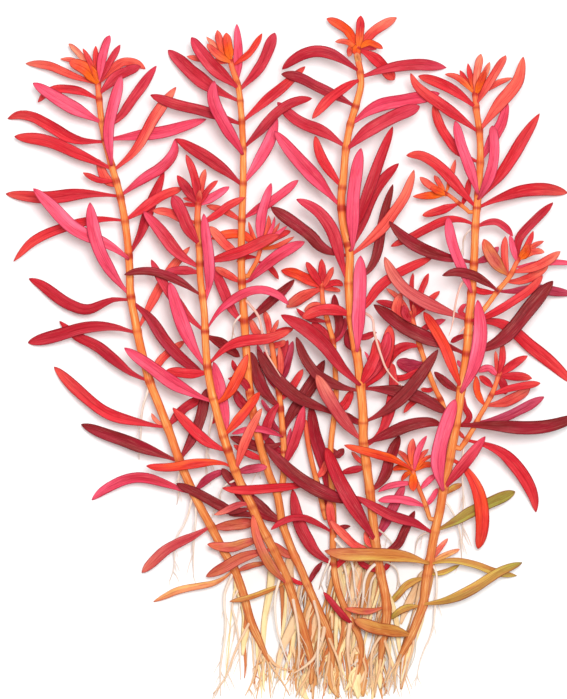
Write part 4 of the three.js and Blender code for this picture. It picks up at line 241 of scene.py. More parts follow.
# Leaves by stem, back to front. A row is: own part or - for fused, tint, width, tip lift, arch, then points
# x y from the base. A tip lift of -90, FLOOR_CONTACT, lets the tip droop to the floor. The last two blocks
# are small leaves deep inside the clump, laid after all others.
LEAVES = [
("i", """
- scarlet 2.4 -5 0 8 14.8 3 16.6 -0.5 17.5
- red 1.8 2 0 7.9 15.3 5 19.3
- red 1.8 -2 0 8.3 15.3 8.4 20
- coral 1.4 1 0 8.5 15 11 18.2
- red 1.5 -2 0 8.8 14.5 11.5 14.8 13.2 14.1
- coral 1.2 -3 0 8.8 14 10.4 13.4 12.6 12.9
- coral 2.6 -5 1 8.2 14 4.8 12 0.7 9.3
- coral 1.8 -5 0 8.8 9.6 6.8 9.6 4.6 8.6
- maroon 2.0 -4 0 11.2 2 12.4 5 11.5 9 11.2 12.2
- rose 1.9 -4 0 11.3 1 12.6 3.5 13.6 7
- crimson 1.3 -2 0 8.5 6 5.4 6.9 2.8 9.1
- crimson 2.6 -1 0 10.9 1 8.9 3.2 6.3 6
- maroon 3.0 0 1 11.1 -14.2 8 -12.7 4.1 -11.1 0.1 -8 -3.4 -4.1 -5.8 0.1
- red 2.2 1 0 11.5 -14 13.3 -12.3 15.2 -8.8
- maroon 1.8 0 0 10.4 -21.6 11.8 -23.4 13.3 -21.8
- crimson 2.8 0 1 10.7 -47.6 7.4 -45 5 -41.5 3.2 -37.5 2 -30.8
- coral 2.0 0 0 10.9 -40.1 10.4 -36.4 10 -32.9
- maroon 1.2 -1 0 10.9 -40.6 12.9 -39.3 14.8 -39
- crimson 1.6 5 1 10.7 -40.6 7.6 -38.4 4.3 -37.1 0.6 -37.5 -2.8 -39.7
- red 1.4 0 0 11.2 -48.2 12.6 -46.9 14 -46
- crimson 1.5 2 0 15.3 -60.8 13 -58.6 10.9 -56 8.8 -53.5
"""),
("s", """
- wine 2.8 3 1 9.6 -35.8 9.8 -29.1 8.5 -23.9 6.9 -18.8 6 -12.2
- red 2.1 10 1 7.4 -29.6 0 -30.3 -5 -30.7 -10 -30.9 -13.5 -30.4
- coral 1.6 -2 0 7.2 -28.4 8.7 -26.8 9.4 -24.4
"""),
("p", """
- coral 1.8 -1 0 -3.4 2.5 -5.6 3.4 -7.4 6.9
- coral 1.5 -2 0 -3.4 4.1 -3.4 6 -4.3 8.7
- coral 1.0 0 0 -3.2 4.2 -1.9 4.9 -1.1 6.6
- red 1.8 -2 0 -3.3 3.7 -1 3.7 2.2 4.6
- coral 1.6 -1 0 -2.6 1 -0.5 1.2 0.4 2
- crimson 1.9 -2 0 -1.6 -5.2 -0.6 -1.9 1 2.1
- mauve 2.2 -3 0 -1.2 -8 0.3 -4.3 2.1 1.9
- crimson 1.6 -2 0 -1.4 -6.6 -2 -4.5 -4.4 -0.4
- maroon 2.7 2 1 -0.8 -12.8 -4 -9.5 -6 -5 -7.2 -0.5
- red 1.8 0 0 -0.6 -11.1 1.6 -8.7 4.3 -4.3
- mauve 1.1 -2 0 -0.5 -13.5 -3 -13.6 -4.9 -11
- cherry 2.2 -2 0 -0.8 -11.8 -2.5 -13.8 -3.6 -16.6 -4.3 -20.1
leaf_p_1 rose 1.5 3 3.5 -0.3 -19.2 -3 -18.1 -6.9 -17.4 -11.4 -18.6
- maroon 2.2 3 1 -0.1 -20.4 -4.1 -21.7 -8 -20.6 -11.8 -19.2
- maroon 2.9 0 0.5 -0.1 -19 1 -15.5 3.6 -11.6 6.5 -7.2 9.1 -2.3
- cherry 2.4 2 1 0.1 -26.1 1.6 -22.3 3.2 -17.9 4.5 -12.4
"""),
("k", """
- coral 1.0 -2 0 -5 23.4 -6.9 25.5 -7.7 28.2
- coral 1.3 -3 0 -4.5 23.8 -3.4 26.5 -3.3 29.6
- pink 1.0 0 0 -4.5 23.8 -2.6 26.5 -1.9 29.3
- coral 1.0 -3 0 -4.4 23.7 -2.2 25.7 -0.8 28
- pink 1.0 2 0 -4.4 23.6 -1.5 25.4 0.9 27.2
- red 1.7 -1 0 -4.5 23.4 -1.5 24.9 1.6 26.1
- coral 1.1 -4 0 -5 21.9 -1.5 22.8 2.4 24.9
- red 1.3 -5 0 -5.8 19.7 -2.8 17.9 -1.1 15.5
- red 1.0 -3 0 -5.8 20.2 -8 20.4 -10.4 19.3
- orange 2.1 5 4 -5.2 23.6 -9 25.3 -12.5 25.3 -15.9 24.4
- pink 2.2 6 1 -5.4 23.2 -4.9 29 -2.7 36.6
"""),
("j", """
- red 1.1 -3 0 28.2 9.5 28.2 13 28.6 16.9
- red 1.5 -1 0 28.3 9.3 30.2 12.6 32 16.8
- red 1.6 -4 0 28.4 8.8 31.8 10.4 34.5 12.9
- coral 2.2 1 0 28.5 5.4 25.4 6.9 24.8 9.1 26.1 12.7
- coral 1.2 0 0 28.3 9.6 25.4 11.3 22.6 13.5
- crimson 1.8 -2 0 27.8 7.8 24.5 9.6 20.4 10.7
- cherry 1.8 -2 0 28.6 6.4 27 7.4 26.5 9.8
- coral 1.0 2 0 28.2 6.6 28.9 8.3 28.4 10
- cherry 1.5 -4 0 29.3 3.5 32.5 5.4 35.8 6.6
- red 2.2 -4 1 29.9 0.7 27.4 0.8 24.4 -0.5 23 -3.6
- mauve 3.1 -5 0 31.3 -3.1 28.5 -3.6 25 -2.8
- red 1.5 -5 0 31.5 -3.8 28 -5.4 24.9 -6.8 24.3 -3.2
- red 1.1 -3 0 33.4 -8.5 32 -9 30.3 -8.7
- red 1.5 -4 0 34.6 -11.3 29.5 -10.8 26.5 -14
"""),
("a", """
- red 2.0 -3 1 -40.6 54.8 -44.5 56.8 -48 57.4 -51.5 57 -54.2 54.5
- cherry 1.6 -4 0 -41 60 -38.5 63 -36 67.3
- crimson 1.3 -5 0 -41.2 60.5 -40.8 63.5 -40 66.6
- red 1.4 -2 0 -41.1 60.3 -41.4 64 -41.4 67
- salmon 1.5 -5 0 -41.3 60.2 -44 64 -47.4 67.5
- red 1.3 -1 0 -41.2 60.3 -42.6 63.3 -44.2 66.3
- coral 1.3 -6 0 -41.3 60.2 -45.5 63.4 -49.3 64.2
- coral 1.9 -90 1 -41 58.5 -47 60.6 -52 62.7 -57 63.2
- pink 2.0 -3 0 -41 60.4 -39.6 65.8 -38.3 69.3
- coral 2.0 -90 0 -40.9 59.6 -36.5 62.8 -33.8 63.7 -30.5 62
- cherry 2.4 -4 1 -40.7 56 -36.5 60.3 -31.5 62.5
- orange 3.0 1 1 -41 59.3 -43.5 61.8 -47.2 63.3
- coral 1.8 1 0 -41 59.5 -42 61.6 -43.4 63.4
- cherry 2.3 -3 1 -39.8 49 -37 50.3 -33 55.5 -28 62.6
- rose 2.6 -3 1 -39.2 46 -33 47 -26 48 -17 50.8
- coral 2.2 -3 0 -36.6 36 -39 37.4 -40.9 42
- red 1.4 -4 0 -37 37 -40.5 37.2 -44.2 39
- coral 2.5 2 1 -37.4 39.3 -32.5 44 -28.5 51 -23.6 57.8
- rose 2.4 -2 1 -35.9 33.8 -31 37.5 -27 40 -24.3 43 -23.8 46.5
- red 2.2 -6 0 -34.9 28.2 -40 28.7 -48 27 -55 24 -59.6 19.4
- red 2.3 -2 1 -34.9 28.2 -31.8 30.4 -27.5 33.4 -22.3 35.6
- crimson 2.4 -4 0 -34.1 20.5 -31.5 25.5 -29.8 30.5 -28 35 -26.3 39.3
- coral 2.1 -5 0 -32.3 4 -29.7 9 -25 17.4 -20.6 22.7
- wine 2.7 -2 0 -33.5 10.6 -29.5 7 -26.5 2.5 -23.5 -1 -20.5 -3.5 -18 -4.8
- coral 1.9 -5 0 -29.5 -6.8 -27 -2.2 -24 0.3 -21.8 1.9
- crimson 2.5 -8 1 -29.4 -7.1 -33.5 -5.2 -37.5 -2 -41.5 1 -46 3.2 -49.5 6.3
- crimson 2.2 -3 0 -25.5 -17.2 -22.5 -13.5 -19.5 -11.4 -17.6 -10.8
- maroon 2.5 -2 0 -22.9 -24.6 -19.8 -19 -18 -14 -17 -8.6
- mauve 1.8 -5 0 -19.9 -31.4 -16 -28 -12.9 -26.8
- dusty 2.4 -4 1 -16 -39 -20 -41.2 -25.5 -44 -31.3 -49.3
- terracotta 2.5 -3 0 -15.9 -39.3 -11.6 -38.8 -6 -38
- salmon 1.0 -2 0 -26.3 -17.3 -28.1 -15.7 -29.1 -14
- peach 1.6 -90 1 -11 -48.5 -14 -51 -18.5 -52.2 -23 -53.1 -28.8 -55.8
- terracotta 1.3 -1 0 -10.6 -49 -7.5 -47.8 -3.2 -47
- red 2.6 -90 1 -39.3 45.8 -46 46.2 -52 49.5 -57 51.8 -61 51
- red 2.7 -6 1 -37.6 39.7 -45 43 -52 46 -59.4 47
leaf_a_3 red 2.8 -90 2 -36 33.8 -44 34.3 -52 33.5 -61.4 34.4
leaf_a_4 pink 3.0 4 2 -34.1 20 -38.5 23 -46 26.5 -51.5 32 -55 35.4
leaf_a_5 crimson 2.6 -90 0 -33.6 11 -38 10.9 -43.5 8.8 -49 11 -53 14 -56.3 15.7
leaf_a_6 crimson 2.8 -90 2 -32.2 3.6 -37.5 4.9 -43.5 4.8 -50 3 -56.5 1.5
leaf_a_7 red 2.7 -90 1 -25.6 -17.3 -31.4 -16.1 -38.5 -14.2 -44.5 -9.8 -50.7 -3.8
leaf_a_8 maroon 2.9 -6 1 -22.9 -24.7 -29 -22.3 -34 -20.4 -40 -18.3 -44.7 -16.5
leaf_a_9 rose 2.5 -90 1 -19.8 -32 -26 -29.6 -31 -28.3 -35 -28.8 -39.5 -31 -42.4 -33.3
- pink 3.0 1 2 -40.1 50 -48 54.2 -55.2 58.7
leaf_a_11 pink 2.9 7 1 -33.6 11.5 -37.5 16.5 -40.5 22 -42 28 -42.5 32.3
leaf_a_12 pink 2.6 6 2 -37.8 40.5 -38.5 48 -35.6 60.2
"""),
("b", """
- coral 1.4 -3 0 -11.6 63 -16 63.6 -21.3 64.6
- salmon 1.4 -4 0 -12 64 -14.3 66 -17 69
- scarlet 1.5 -3 0 -11.4 62.4 -7.4 65.4 -4.7 69.7
- coral 1.8 -3 0 -12 64 -13.7 66.6 -14.6 70.4
- coral 1.8 0 0 -11.6 63 -14.4 64.8 -16.8 67.3
- pink 2.1 -4 0 -10.3 58.5 -10 65.5 -10.3 71.8
- orange 2.2 1 0 -11.8 63.6 -12.2 66.5 -12.6 69.7
- cherry 2.5 -90 1 -9.8 57 -5 62.6 -1.9 70
- cherry 3.0 -3 1 -9.9 57.5 -16 62.8 -20.3 68.7
- red 2.3 -4 1 -9.2 50 -4.5 54.3 0 58 4.8 62.4
- crimson 2.3 -2 1 -9 44.2 -5 48.2 -1 52.5 2.5 54.5 6.3 55.3
- pink 2.6 -2 1 -8.9 36.3 -5.4 41.6 -2.8 46.6 -1.5 51.5
- coral 1.6 -4 0 -9.2 28.4 -13 30.5 -17 31.7
- rose 2.1 -3 0 -9.2 28.6 -6 30.7 -2.5 32.7 0.5 35 3.3 37.3
- coral 2.2 -5 0 -9.3 20.3 -12.5 22.8 -16.3 27.1
- coral 1.8 -4 0 -9.1 14.8 -12.5 16.6 -15.3 18.2
- cherry 2.4 -4 0 -8.6 5.6 -11.2 8.5 -13 12.5 -15.4 18
- maroon 2.1 -5 0 -8.6 6 -5.5 8.3 -2.5 11 0.3 13.3 2.4 15.4
- crimson 1.2 -3 0 -7.9 -4 -10.2 -4.6 -11.3 -2.3
- wine 2.2 -4 0 -6.7 -14 -9.4 -11.6 -10.9 -8.6
- crimson 1.8 2 0 -7.4 -9.4 -9 -7 -12.2 -6.4
- red 1.6 -4 0 -4.2 -24.4 -8 -22.8 -11 -21
- maroon 3.0 7 1 -0.8 -38.8 -4.5 -35.8 -7.2 -33.3 -10.9 -31.6
- terracotta 1.8 -2 0 2.6 -46 0.4 -45 -2.6 -42.6
- maroon 1.3 0 0 5.4 -52.2 6.6 -49.6 8.6 -46.8
- red 1.0 -1 0 5.2 -51.8 3 -51.4 0.9 -50
leaf_b_1 rose 2.6 2 1 -8.1 14.6 -4 18.5 1 22 4.7 23.7
leaf_b_2 cherry 3.2 -90 1 -9.5 54.5 -17 58.4 -25.5 66.2
- crimson 2.5 -1 1 -9.2 49.6 -17.5 52.4 -24 54 -29.3 56
- crimson 2.7 -4 1 -8.9 36 -13 39.5 -18 43 -23.8 46.4
leaf_b_5 rose 3.0 5 2 -9 43 -10.5 45.5 -13 49.5 -15.5 55 -15.2 59
"""),
("c", """
- coral 1.3 -3 0 16.3 67.3 13.8 67.8 11.4 67.8
- coral 1.5 -5 0 16.3 67 15 66.4 14.4 64.5
- orange 1.5 -3 0 16.4 67.3 18.6 67.6 21.9 66.3
- orange 2.2 -6 0 16.3 67.3 13.8 70.6 9.5 73
- red 2.0 -3 0 16.4 67.4 16.8 70 17 73.5
- coral 2.3 -5 0 16.4 67.4 20 70.2 25 73.2
- orange 2.1 3 0 16.3 68 16.2 66.6 16 64.6
- cherry 1.5 -4 0 16.6 65.5 18.4 66.6 20.5 66.2
- peach 1.6 2 0 16.5 63 16.4 64 16 65.3
- red 2.6 -5 1 16.5 66 20 64.2 24.4 59.4
- wine 2.4 -4 1 16.2 53.5 12 55.5 7 58 3 60 -0.5 60.6
- cherry 2.7 -4 1 13.8 44.3 9 47.8 3 50.5 -1.4 54.5
- rose 3.0 -4 1 14.5 49.5 20 53.3 27 55 31 55.7 34.4 56.4
- red 2.2 -3 0 13 35.5 10 39.5 8 43 7 47
- crimson 2.4 -4 1 14.5 21.5 17 27 19.5 33.5 22 37.5 25.4 41
- maroon 2.2 -4 0 14.4 14.4 18.1 16.8 20.4 20.6 21.4 26.1 22.6 31.6 24.1 36.4
- crimson 2.5 1 1 14.2 23 17.4 31 20.4 39.6 24 49
- red 2.3 -4 1 15 6.6 18.2 10 20.3 13 23.5 15.8 28 18.2 33 20.4
- red 2.6 0 1 14.8 7.2 11.6 8.7 7.6 8.5 4.1 6.9
- maroon 2.3 -3 0 16 -0.4 14.6 1.2 14.3 4.6
- crimson 1.5 -2 0 15.6 2.6 18 2.8 20.5 3.8
- pink 1.0 -1 0 17 -8 18.9 -2.6 17.8 -0.4
- red 2.6 -2 1 17.1 -7.8 19.2 -3.6 20.4 -0.3 20.4 2.5
- red 3.5 -3 1 17.3 -8.7 20.8 -4.7 22.8 0.3 23.4 5.4
- maroon 2.5 -2 0 17.3 -8.9 13.8 -8.5 10.2 -7.2 7.4 -5.4 5 -2.3 2.8 2.8
- maroon 1.5 -4 0 17.4 -16.6 15 -15.2 13.2 -13.8
- red 2.4 -4 0 17.7 -21.2 21.2 -18.6 23.4 -13.3 24.3 -7.8 23.6 -2.5
- crimson 1.6 -3 0 18.4 -25.9 15.3 -26.5 12.8 -27.2
- coral 1.1 -4 0 18.3 -25.6 17 -24.7 15 -22.5
- maroon 2.6 -4 0 19 -31.1 21.9 -28.7 23.6 -23.9 25.6 -19
- maroon 3.0 -1 1 19.2 -33.5 15.1 -33.3 11.3 -32.5 7.6 -30.9 3.6 -28.5 -0.3 -25.2 -4.3 -20.8
- crimson 3.2 1 1 20.1 -42.2 17 -37 13.7 -31.5 11 -26 9.4 -21.6
- coral 2.0 -2 0 20.6 -45 16.4 -43.5 13.1 -40.6 10.2 -37.5
- coral 1.5 -1 0 20.4 -43.9 18.6 -42.4 18.1 -39.9
- crimson 1.4 -3 0 21.3 -49 18.6 -48 16.2 -46.5
- crimson 1.2 -3 0 21.4 -49 22.7 -48 23.4 -46.6
- mauve 2.3 -3 0 19.9 -42.4 22.3 -38.4 24.5 -34.2 26.7 -29.8
- maroon 2.1 -4 0 20.6 -45 24.5 -43.8 27 -39.4 29 -35.6
- terracotta 1.5 -1 0 23 -56.9 18.6 -57.8 13.5 -57.1
- crimson 2.5 -3 3 16.6 60.8 12.5 64 8 65.6 3.5 64.6 -0.3 61.7
- cherry 2.6 -90 1 16.8 59.7 21 61.3 26 62.5 31 62.8 36 62.3
- red 2.3 1 2 17.1 59.3 13.5 57.5 9.6 54.5 6.3 50.7
leaf_c_3 maroon 2.8 -3 1 14.5 20.6 9 22 6 25 2 28 -2.8 31.3
leaf_c_4 cherry 2.8 3 1 14.2 13.6 12.5 20 10.5 26.5 7 30.8 2.8 33
leaf_c_5 rose 3.2 2 1 12.7 31.2 8 36.5 2.5 42.5 -2 48
- cherry 3.1 -1 1 13.8 43.9 18 47.5 23 50.5 30 53.5
- coral 2.5 0 1 14.6 20.6 20.5 25.5 24.5 30.5 27 34.5 28.7 39.5
leaf_c_8 maroon 2.9 1 1 18 -16 22 -13.7 26 -10.5 29.5 -6.5 34 0
leaf_c_9 maroon 2.8 -2 1 17.1 -8.5 22 -8.8 27 -9.6 31 -11 36 -14
- maroon 2.7 1 1 17.6 -20.4 20 -19.8 24 -18 28 -16.5 32 -15.9 34.8 -16.6
leaf_c_11 crimson 3.1 3 2 16.9 -8 13 -4 9 1 5 4.5 -0.6 7.6
leaf_c_12 dusty 3.0 2 1 17.6 -20.6 14 -16.5 10.5 -11.5 7.2 -5.5
leaf_c_13 pink 3.0 3 2 15.2 21.8 15.3 33 16.2 40 17 44.2
leaf_c_14 pink 3.1 3 2 16.2 -0.6 16.5 6 16.8 14 16.9 20.6
"""),
("e", """
- coral 1.7 -3 0 -18.6 33 -18 36.5 -17.2 39.7
- crimson 2.2 -2 0 -18.7 32.9 -21.6 35.8 -23.4 38.3
- red 0.9 -2 0 -18.7 32.6 -20.4 32.9 -22.1 33.2
- red 1.0 -4 0 -18.8 31.8 -20.4 31.8 -22 32.1
- pink 2.0 -1 0 -18.6 32.5 -14.4 34.2 -11.9 35.8
- red 1.4 1 0 -18.5 33 -16.3 35.4 -14.4 37.1
- red 1.9 2 1 -18.6 32.8 -19.6 38.2 -21.4 42.8
- coral 1.4 2 0 -18.7 31.8 -18.5 33.4 -18.3 35
- coral 2.0 -6 0 -18.8 27.6 -22 28.5 -25 30.1 -28.8 30.5
- red 1.9 -2 0 -18.8 27.2 -14.5 29.7 -12 31.6 -8.4 33.4
- cherry 2.0 -6 0 -18.3 16.8 -22 17.4 -26 17.1
- cherry 2.8 -3 0 -18.4 17.9 -23 21 -27 26 -30.8 30.4
- maroon 2.4 -5 0 -17.1 3.2 -13.5 1.2 -9.6 -1.6
- red 2.4 -4 0 -16.6 -5 -21 -5.3 -25.8 -4.6
- crimson 1.2 -4 0 -15.3 -11 -14.8 -14 -15.6 -16.4
- red 2.4 -4 0 -12.2 -22.4 -16 -20.8 -19 -18.5 -22 -15.5 -24.4 -12.8
- orange 2.4 0 0 -15.5 -12 -12.7 -10.4 -10 -6 -7.8 -1
- mauve 2.1 -4 0 -10.5 -27 -7.6 -26.4 -3.6 -25.8
- coral 2.2 1 1 -10.7 -26.7 -9.3 -22.6 -7.4 -17.9 -4.7 -12.9
- maroon 2.2 -2 0 -9 -30.4 -11.6 -28.7 -13.6 -26.2
- maroon 2.3 -3 0 -6.9 -34.6 -11 -35.6 -15 -33.8 -19 -31.6 -23.6 -29.5
- dusty 1.5 -2 0 -7 -34.4 -9.8 -34 -12 -35.2 -15.3 -36.4
- maroon 1.4 -5 0 -6 -36.7 -8.6 -36.2 -12.1 -36.4
- terracotta 2.2 -4 0 -3.7 -41.3 -8 -42.5 -12 -43.6 -16.8 -42.9
- terracotta 2.4 -5 0 -2.4 -43.8 -9.3 -45.9 -13 -48 -17.1 -50.1
- ochre 1.3 -3 0 0.8 -51.4 -3 -53 -8 -54.8 -11.9 -55.6
- terracotta 2.3 5 1 0.9 -51.8 -1.8 -49 -4.6 -44.6 -6.1 -40.4 -6.8 -36.3
- scarlet 2.2 -2 1 -12.2 -18.7 -8.4 -13.6 -5.2 -9.3
- cherry 2.9 -2 1 -18.6 23 -20.8 26.5 -22.5 30.5 -24.4 33.8
- cherry 2.3 -2 0 -17.2 3.8 -20.5 6.8 -24 11 -27 15.5 -29.1 19.8
- maroon 2.0 0 1 -18 11.6 -22 14.5 -26 16.4 -31 17.3 -35 16.4
leaf_e_5 scarlet 2.1 0 1 -10.8 -26.3 -12.5 -25.2 -16 -24.8 -21 -25.3 -26 -26 -30.2 -25.6
leaf_e_6 red 2.6 1 1 -18.4 18.9 -12 20.6 -8 22 -4 24 -0.8 25.2
leaf_e_7 rose 2.0 0 2 -17.2 4 -14.5 8 -12 10.2 -9 12.1 -5 13.1 -1.5 12.1 1.2 9.8
leaf_e_8 red 2.5 0 1 -16.8 -3.6 -12.4 0.6 -8 2.1 -3.4 2.5 1.6 4.3
leaf_e_9 rose 3.0 1 1 -15.2 -11.7 -20 -9.6 -25 -6.8 -29.5 -3.5 -35 0.4
leaf_e_10 pink 3.0 3 1 -17 -4.4 -19.5 0 -21.5 4 -23.5 9.5 -25 14.8
leaf_e_11 pink 2.7 5 1 -12.4 -22 -12.7 -16 -13.8 -10 -15.4 -2.7
leaf_e_12 pink 2.6 5 1 -17.6 9 -16.4 14 -16.4 20 -17 25 -17.5 29.8
"""),
("d1", """
- coral 1.3 -3 0 35 34.8 34.4 36.5 33.2 38.4
- coral 1.7 -1 0 34.8 34.8 32 36.3 30 38
- coral 1.2 -4 0 35.4 34.5 36.9 38 37.9 41.9
- orange 1.7 -2 0 34.8 34.6 31.5 33.9 28.5 33.7
- orange 1.6 2 0 35 34.7 33.8 35 32.3 35.6
- red 1.9 -3 0 38.6 32.1 34.5 30.6 30.6 29.5
- red 1.5 1 0 39.2 31.7 40.4 34.5 40.8 37.7
"""),
("d2", """
- coral 1.7 -1 0 49.7 16 48.6 21 48.8 24.9
- pink 1.4 0 0 51.3 19.3 50.5 22 49.8 25.2
- red 1.4 -2 0 52.6 21.2 54 23.6 55 26.1
- coral 1.2 -4 0 52.6 21.2 55 22.8 57.4 23.9
- coral 1.6 -3 0 52.6 21 55 21.6 57.4 21.4
- orange 2.2 0 0 51.6 19.8 53.1 21.2 53.9 23.2
- crimson 2.1 -3 1 51.3 19.3 51.9 24.4 55.3 28.4 59.4 32.4
- coral 2.1 -3 1 50.2 17 54.5 17.9 58 19.5 61 21.6
- pink 1.4 -5 0 50.6 17.8 56 18.8 60 19.2 64.3 18.9
- coral 2.0 -4 0 49 15 52.5 15.2 55.5 16.6 58.4 18.6
- mauve 2.2 -90 0 47.1 12.9 51 12.8 54.5 13.3 59 12.9 64 12.2
- terracotta 2.8 1 0 49.7 16.2 47.9 17.7 45.5 21 44 24.3
- red 1.4 -3 0 46.9 12.7 43 12.9 39.7 15
leaf_d_12 maroon 2.1 5 2 46.5 13.4 42 16.1 38 17 34.8 16.2
"""),
("d3", """
- coral 1.0 -2 0 47.7 -4.7 46.9 -3 46.7 -0.3
- red 1.5 0 0 47.8 -4.8 48.2 -2 48.1 1.6
- red 1.9 -3 0 47.8 -5 51 -3 53.8 -1.4
- red 2.0 -4 0 47.7 -5 52 -5.9 54.8 -6.4
- pink 1.7 -2 0 47.6 -5 45 -4 43 -5
- red 1.6 -3 0 46.3 -8.6 45.2 -7.5 43.2 -5.8
- crimson 1.9 -2 0 47.5 -5.3 48.4 -7.6 48.9 -9.9
- orange 1.6 -1 0 44.5 -12.2 42.8 -9.8 42.4 -5.8
- coral 2.4 -90 1 44.5 -12.2 48.7 -11.6 51.8 -10.2 54.5 -8.7
- red 1.7 -2 0 45.6 -10.4 49.4 -8.7 52.9 -8 56.6 -7.4
- coral 0.9 -1 0 40.2 -20 39.3 -19 38.2 -17.6
- mauve 2.2 -4 0 42.4 -16.2 46.8 -15.5 50 -14.3 54 -12.3 57.5 -10.4
leaf_d_23 red 2.9 -90 1 40.2 -20 45 -21.2 49 -23.5 52.5 -27.5 55 -32 55.8 -36
"""),
("d4", """
- coral 1.9 -2 0 28.2 -25.4 28.2 -22.5 28.6 -19.6
- pink 1.4 0 0 28.4 -25.3 29.8 -22 31.6 -19
- coral 1.2 -3 0 28.4 -25.4 30.3 -23.6 32 -22
- orange 1.0 0 0 28.4 -25.5 31 -24.2 33.1 -23.2
- orange 1.5 -3 0 28.4 -25.6 31 -25.4 33.4 -25.6
- coral 1.3 -3 0 28.1 -25.4 26.8 -23.6 25 -22.3
- orange 1.4 -3 0 28.1 -25.5 26 -25.9 24 -26.6
- orange 1.1 -2 0 28.3 -26.4 27 -27.6 26 -29
- orange 2.0 2 0 28.4 -25.6 28.6 -28 28.6 -31.2
- pink 1.4 -2 0 29.4 -29.5 25.8 -29.6 23 -30.2 20.8 -31.4
- pink 1.9 1 1 31.4 -34.6 27.5 -33.3 24 -32.9 20.8 -33.3
- pink 1.4 -1 0 30 -31 31.8 -29 33.9 -27.3
- pink 1.3 -2 0 31.4 -34.6 32.8 -32.8 34 -30.6
- orange 1.9 8 1 28.4 -26 25 -24.5 21 -23.2 17 -22.1 13.3 -21
"""),
("d", """
- red 1.3 -2 0 42.3 56.8 41.2 60 40.6 63.1
- red 1.3 -4 0 42.3 56.4 40.2 59.2 38.9 61.6
- coral 1.4 -5 0 42.3 56.6 38.2 60 35.6 60.7
- coral 1.4 -5 0 42.3 56.2 47.5 58.9 50.5 59.9
- salmon 1.4 -4 0 42.3 56.8 44 59.8 45.5 63.4
- salmon 1.8 -2 0 42.2 57 42.6 61 43.5 65.1
- coral 2.0 -6 1 42.4 54 46 60 49 64.8
- orange 1.8 1 0 42.3 56 43.2 58.6 44.3 61.5
- red 2.3 -5 1 42.4 53 37.5 57 33.5 59 29.7 60.3
- red 2.2 -4 0 43.2 41 39 43.2 36.5 46 34.2 50 33 54.3
- rose 2.5 -4 0 43.3 41 45.5 45.5 48 50 49.3 54.6
- red 2.0 -3 1 42.2 27 38.5 28.7 35 28.2 31 26.3 28.5 25 23.6 22.7
- cherry 1.6 -2 1 42.2 26.8 46 28.2 48.8 26.9 50.5 24.9
- mauve 1.8 -5 0 41.9 19 45 20.3 47.4 22.6
- cherry 1.3 -3 0 40.9 7 38.8 8.3 40.2 10.1
- crimson 1.3 -4 0 40.5 3 38.6 2.6 36.8 1.6
- pink 1.0 -2 0 39.8 -4 38.9 -3.4 38.3 -2.4
- scarlet 2.5 -4 1 39 -8.8 37.2 -4 35.5 0.5 33 5 30.9 8.3
- maroon 1.8 -4 0 39 -9.4 36 -7.5 33.2 -4.9
- crimson 1.4 -4 0 37.9 -16.8 41.2 -15.6 40 -13 39.8 -10.2
- crimson 2.3 6 1 32.5 -40.4 28.3 -38 24.5 -36.9 20.8 -35.1 15.7 -32.2
- ochre 1.4 -3 0 35 -32 37.4 -30.5 39.6 -29.7
- salmon 1.3 -2 0 32.3 -46.6 34.2 -44.2 36.3 -41.7
- peach 1.3 -3 0 32.2 -47 35.5 -45.4 38.9 -44.1
- olive 1.7 -90 1 32 -47.4 36.6 -46.5 42.1 -47.4 47 -49.2 51.6 -50
- olive 1.2 -4 0 31.7 -49.8 35.2 -49.2 38.9 -47.6
- olive 1.7 -3 0 31.5 -50.2 28 -51.4 25.8 -53.6 23.5 -56.2
- olive 2.3 0 1 30.9 -56.4 36.6 -55.1 42.1 -52.5 47.6 -49 52.7 -47
- olive 1.6 -2 0 30.7 -56.8 27.5 -56.9 25.3 -58 23.6 -59.6
- ochre 2.9 4 2 28.1 -63 24.5 -62.1 20.1 -61.3 15.5 -59.5
- coral 2.8 -2 1 43.1 48 47.5 54 51.5 59 52.8 64.5
- red 2.5 -3 1 43 47.8 38 51.5 33 55 29.7 57.5 27.9 60.8
- red 2.7 -3 1 42.8 32.6 48.5 39.5 52.5 46 56.4 52
leaf_d_4 red 2.8 -90 2 42.5 31.1 47.5 33.3 53 35 58 35.3 62.8 34.6
- red 2.5 -2 2 42.5 31.2 38.5 35.5 35 39.5 30.5 42.6 27 42.7
leaf_d_6 maroon 2.7 -2 1 41.9 19.2 37 20 34 20.8 30 22.4 26 25 23.2 28.2
leaf_d_7 dusty 2.9 0 1 40.8 6.4 37 7.9 32 10 27 13 24 16.5 22.2 20.4
leaf_d_8 maroon 3.1 -1 1 40.3 -1 36 0.8 31 2.8 26 5.3 22.5 8 19.8 9.9
- red 2.0 1 1 40.9 6.2 44 7 47 8.5 51 11 54.5 13.5 57 16.3
leaf_d_10 red 2.9 -90 1 40.8 5.6 47 6.1 50.5 4.2 54 1.2 58.5 -2.4 64.5 -7.8
leaf_d_11 maroon 3.4 0 1 40.3 -1.2 47 1.5 50.5 4.5 54 9 57 12.5 59.3 15.1
leaf_d_13 maroon 2.9 -90 1 37.9 -16.8 42 -16.6 48 -16.8 54 -17.2 59 -16.6 65 -14.8
- cherry 2.5 2 1 35.3 -30.8 37.8 -27.5 41 -23.5 44.4 -19.1
- moss 2.6 -90 1 33.5 -40 37 -38.3 41 -36 46 -33.6 51.2 -31.4
leaf_d_16 ochre 3.1 4 2 32.2 -47.2 27 -45.7 20 -45.2 13 -45.1 9 -44.3
leaf_d_17 pink 2.5 4 2 42.8 34 41 39.5 39 45 37.7 50.2
leaf_d_18 pink 2.4 4 2 42.8 33 45 37.5 46.2 43 45.9 49.2
leaf_d_19 pink 2.4 4 2 41.3 12.6 39.1 18 37.8 21 36.6 25 36.1 29.2
leaf_d_20 pink 3.2 4 2 39 -9.4 41.3 -5 42.8 0 43.2 5 42.6 10.9
leaf_d_21 pink 3.5 4 2 35.1 -31 33.9 -25.5 34.9 -19 37.8 -10.9
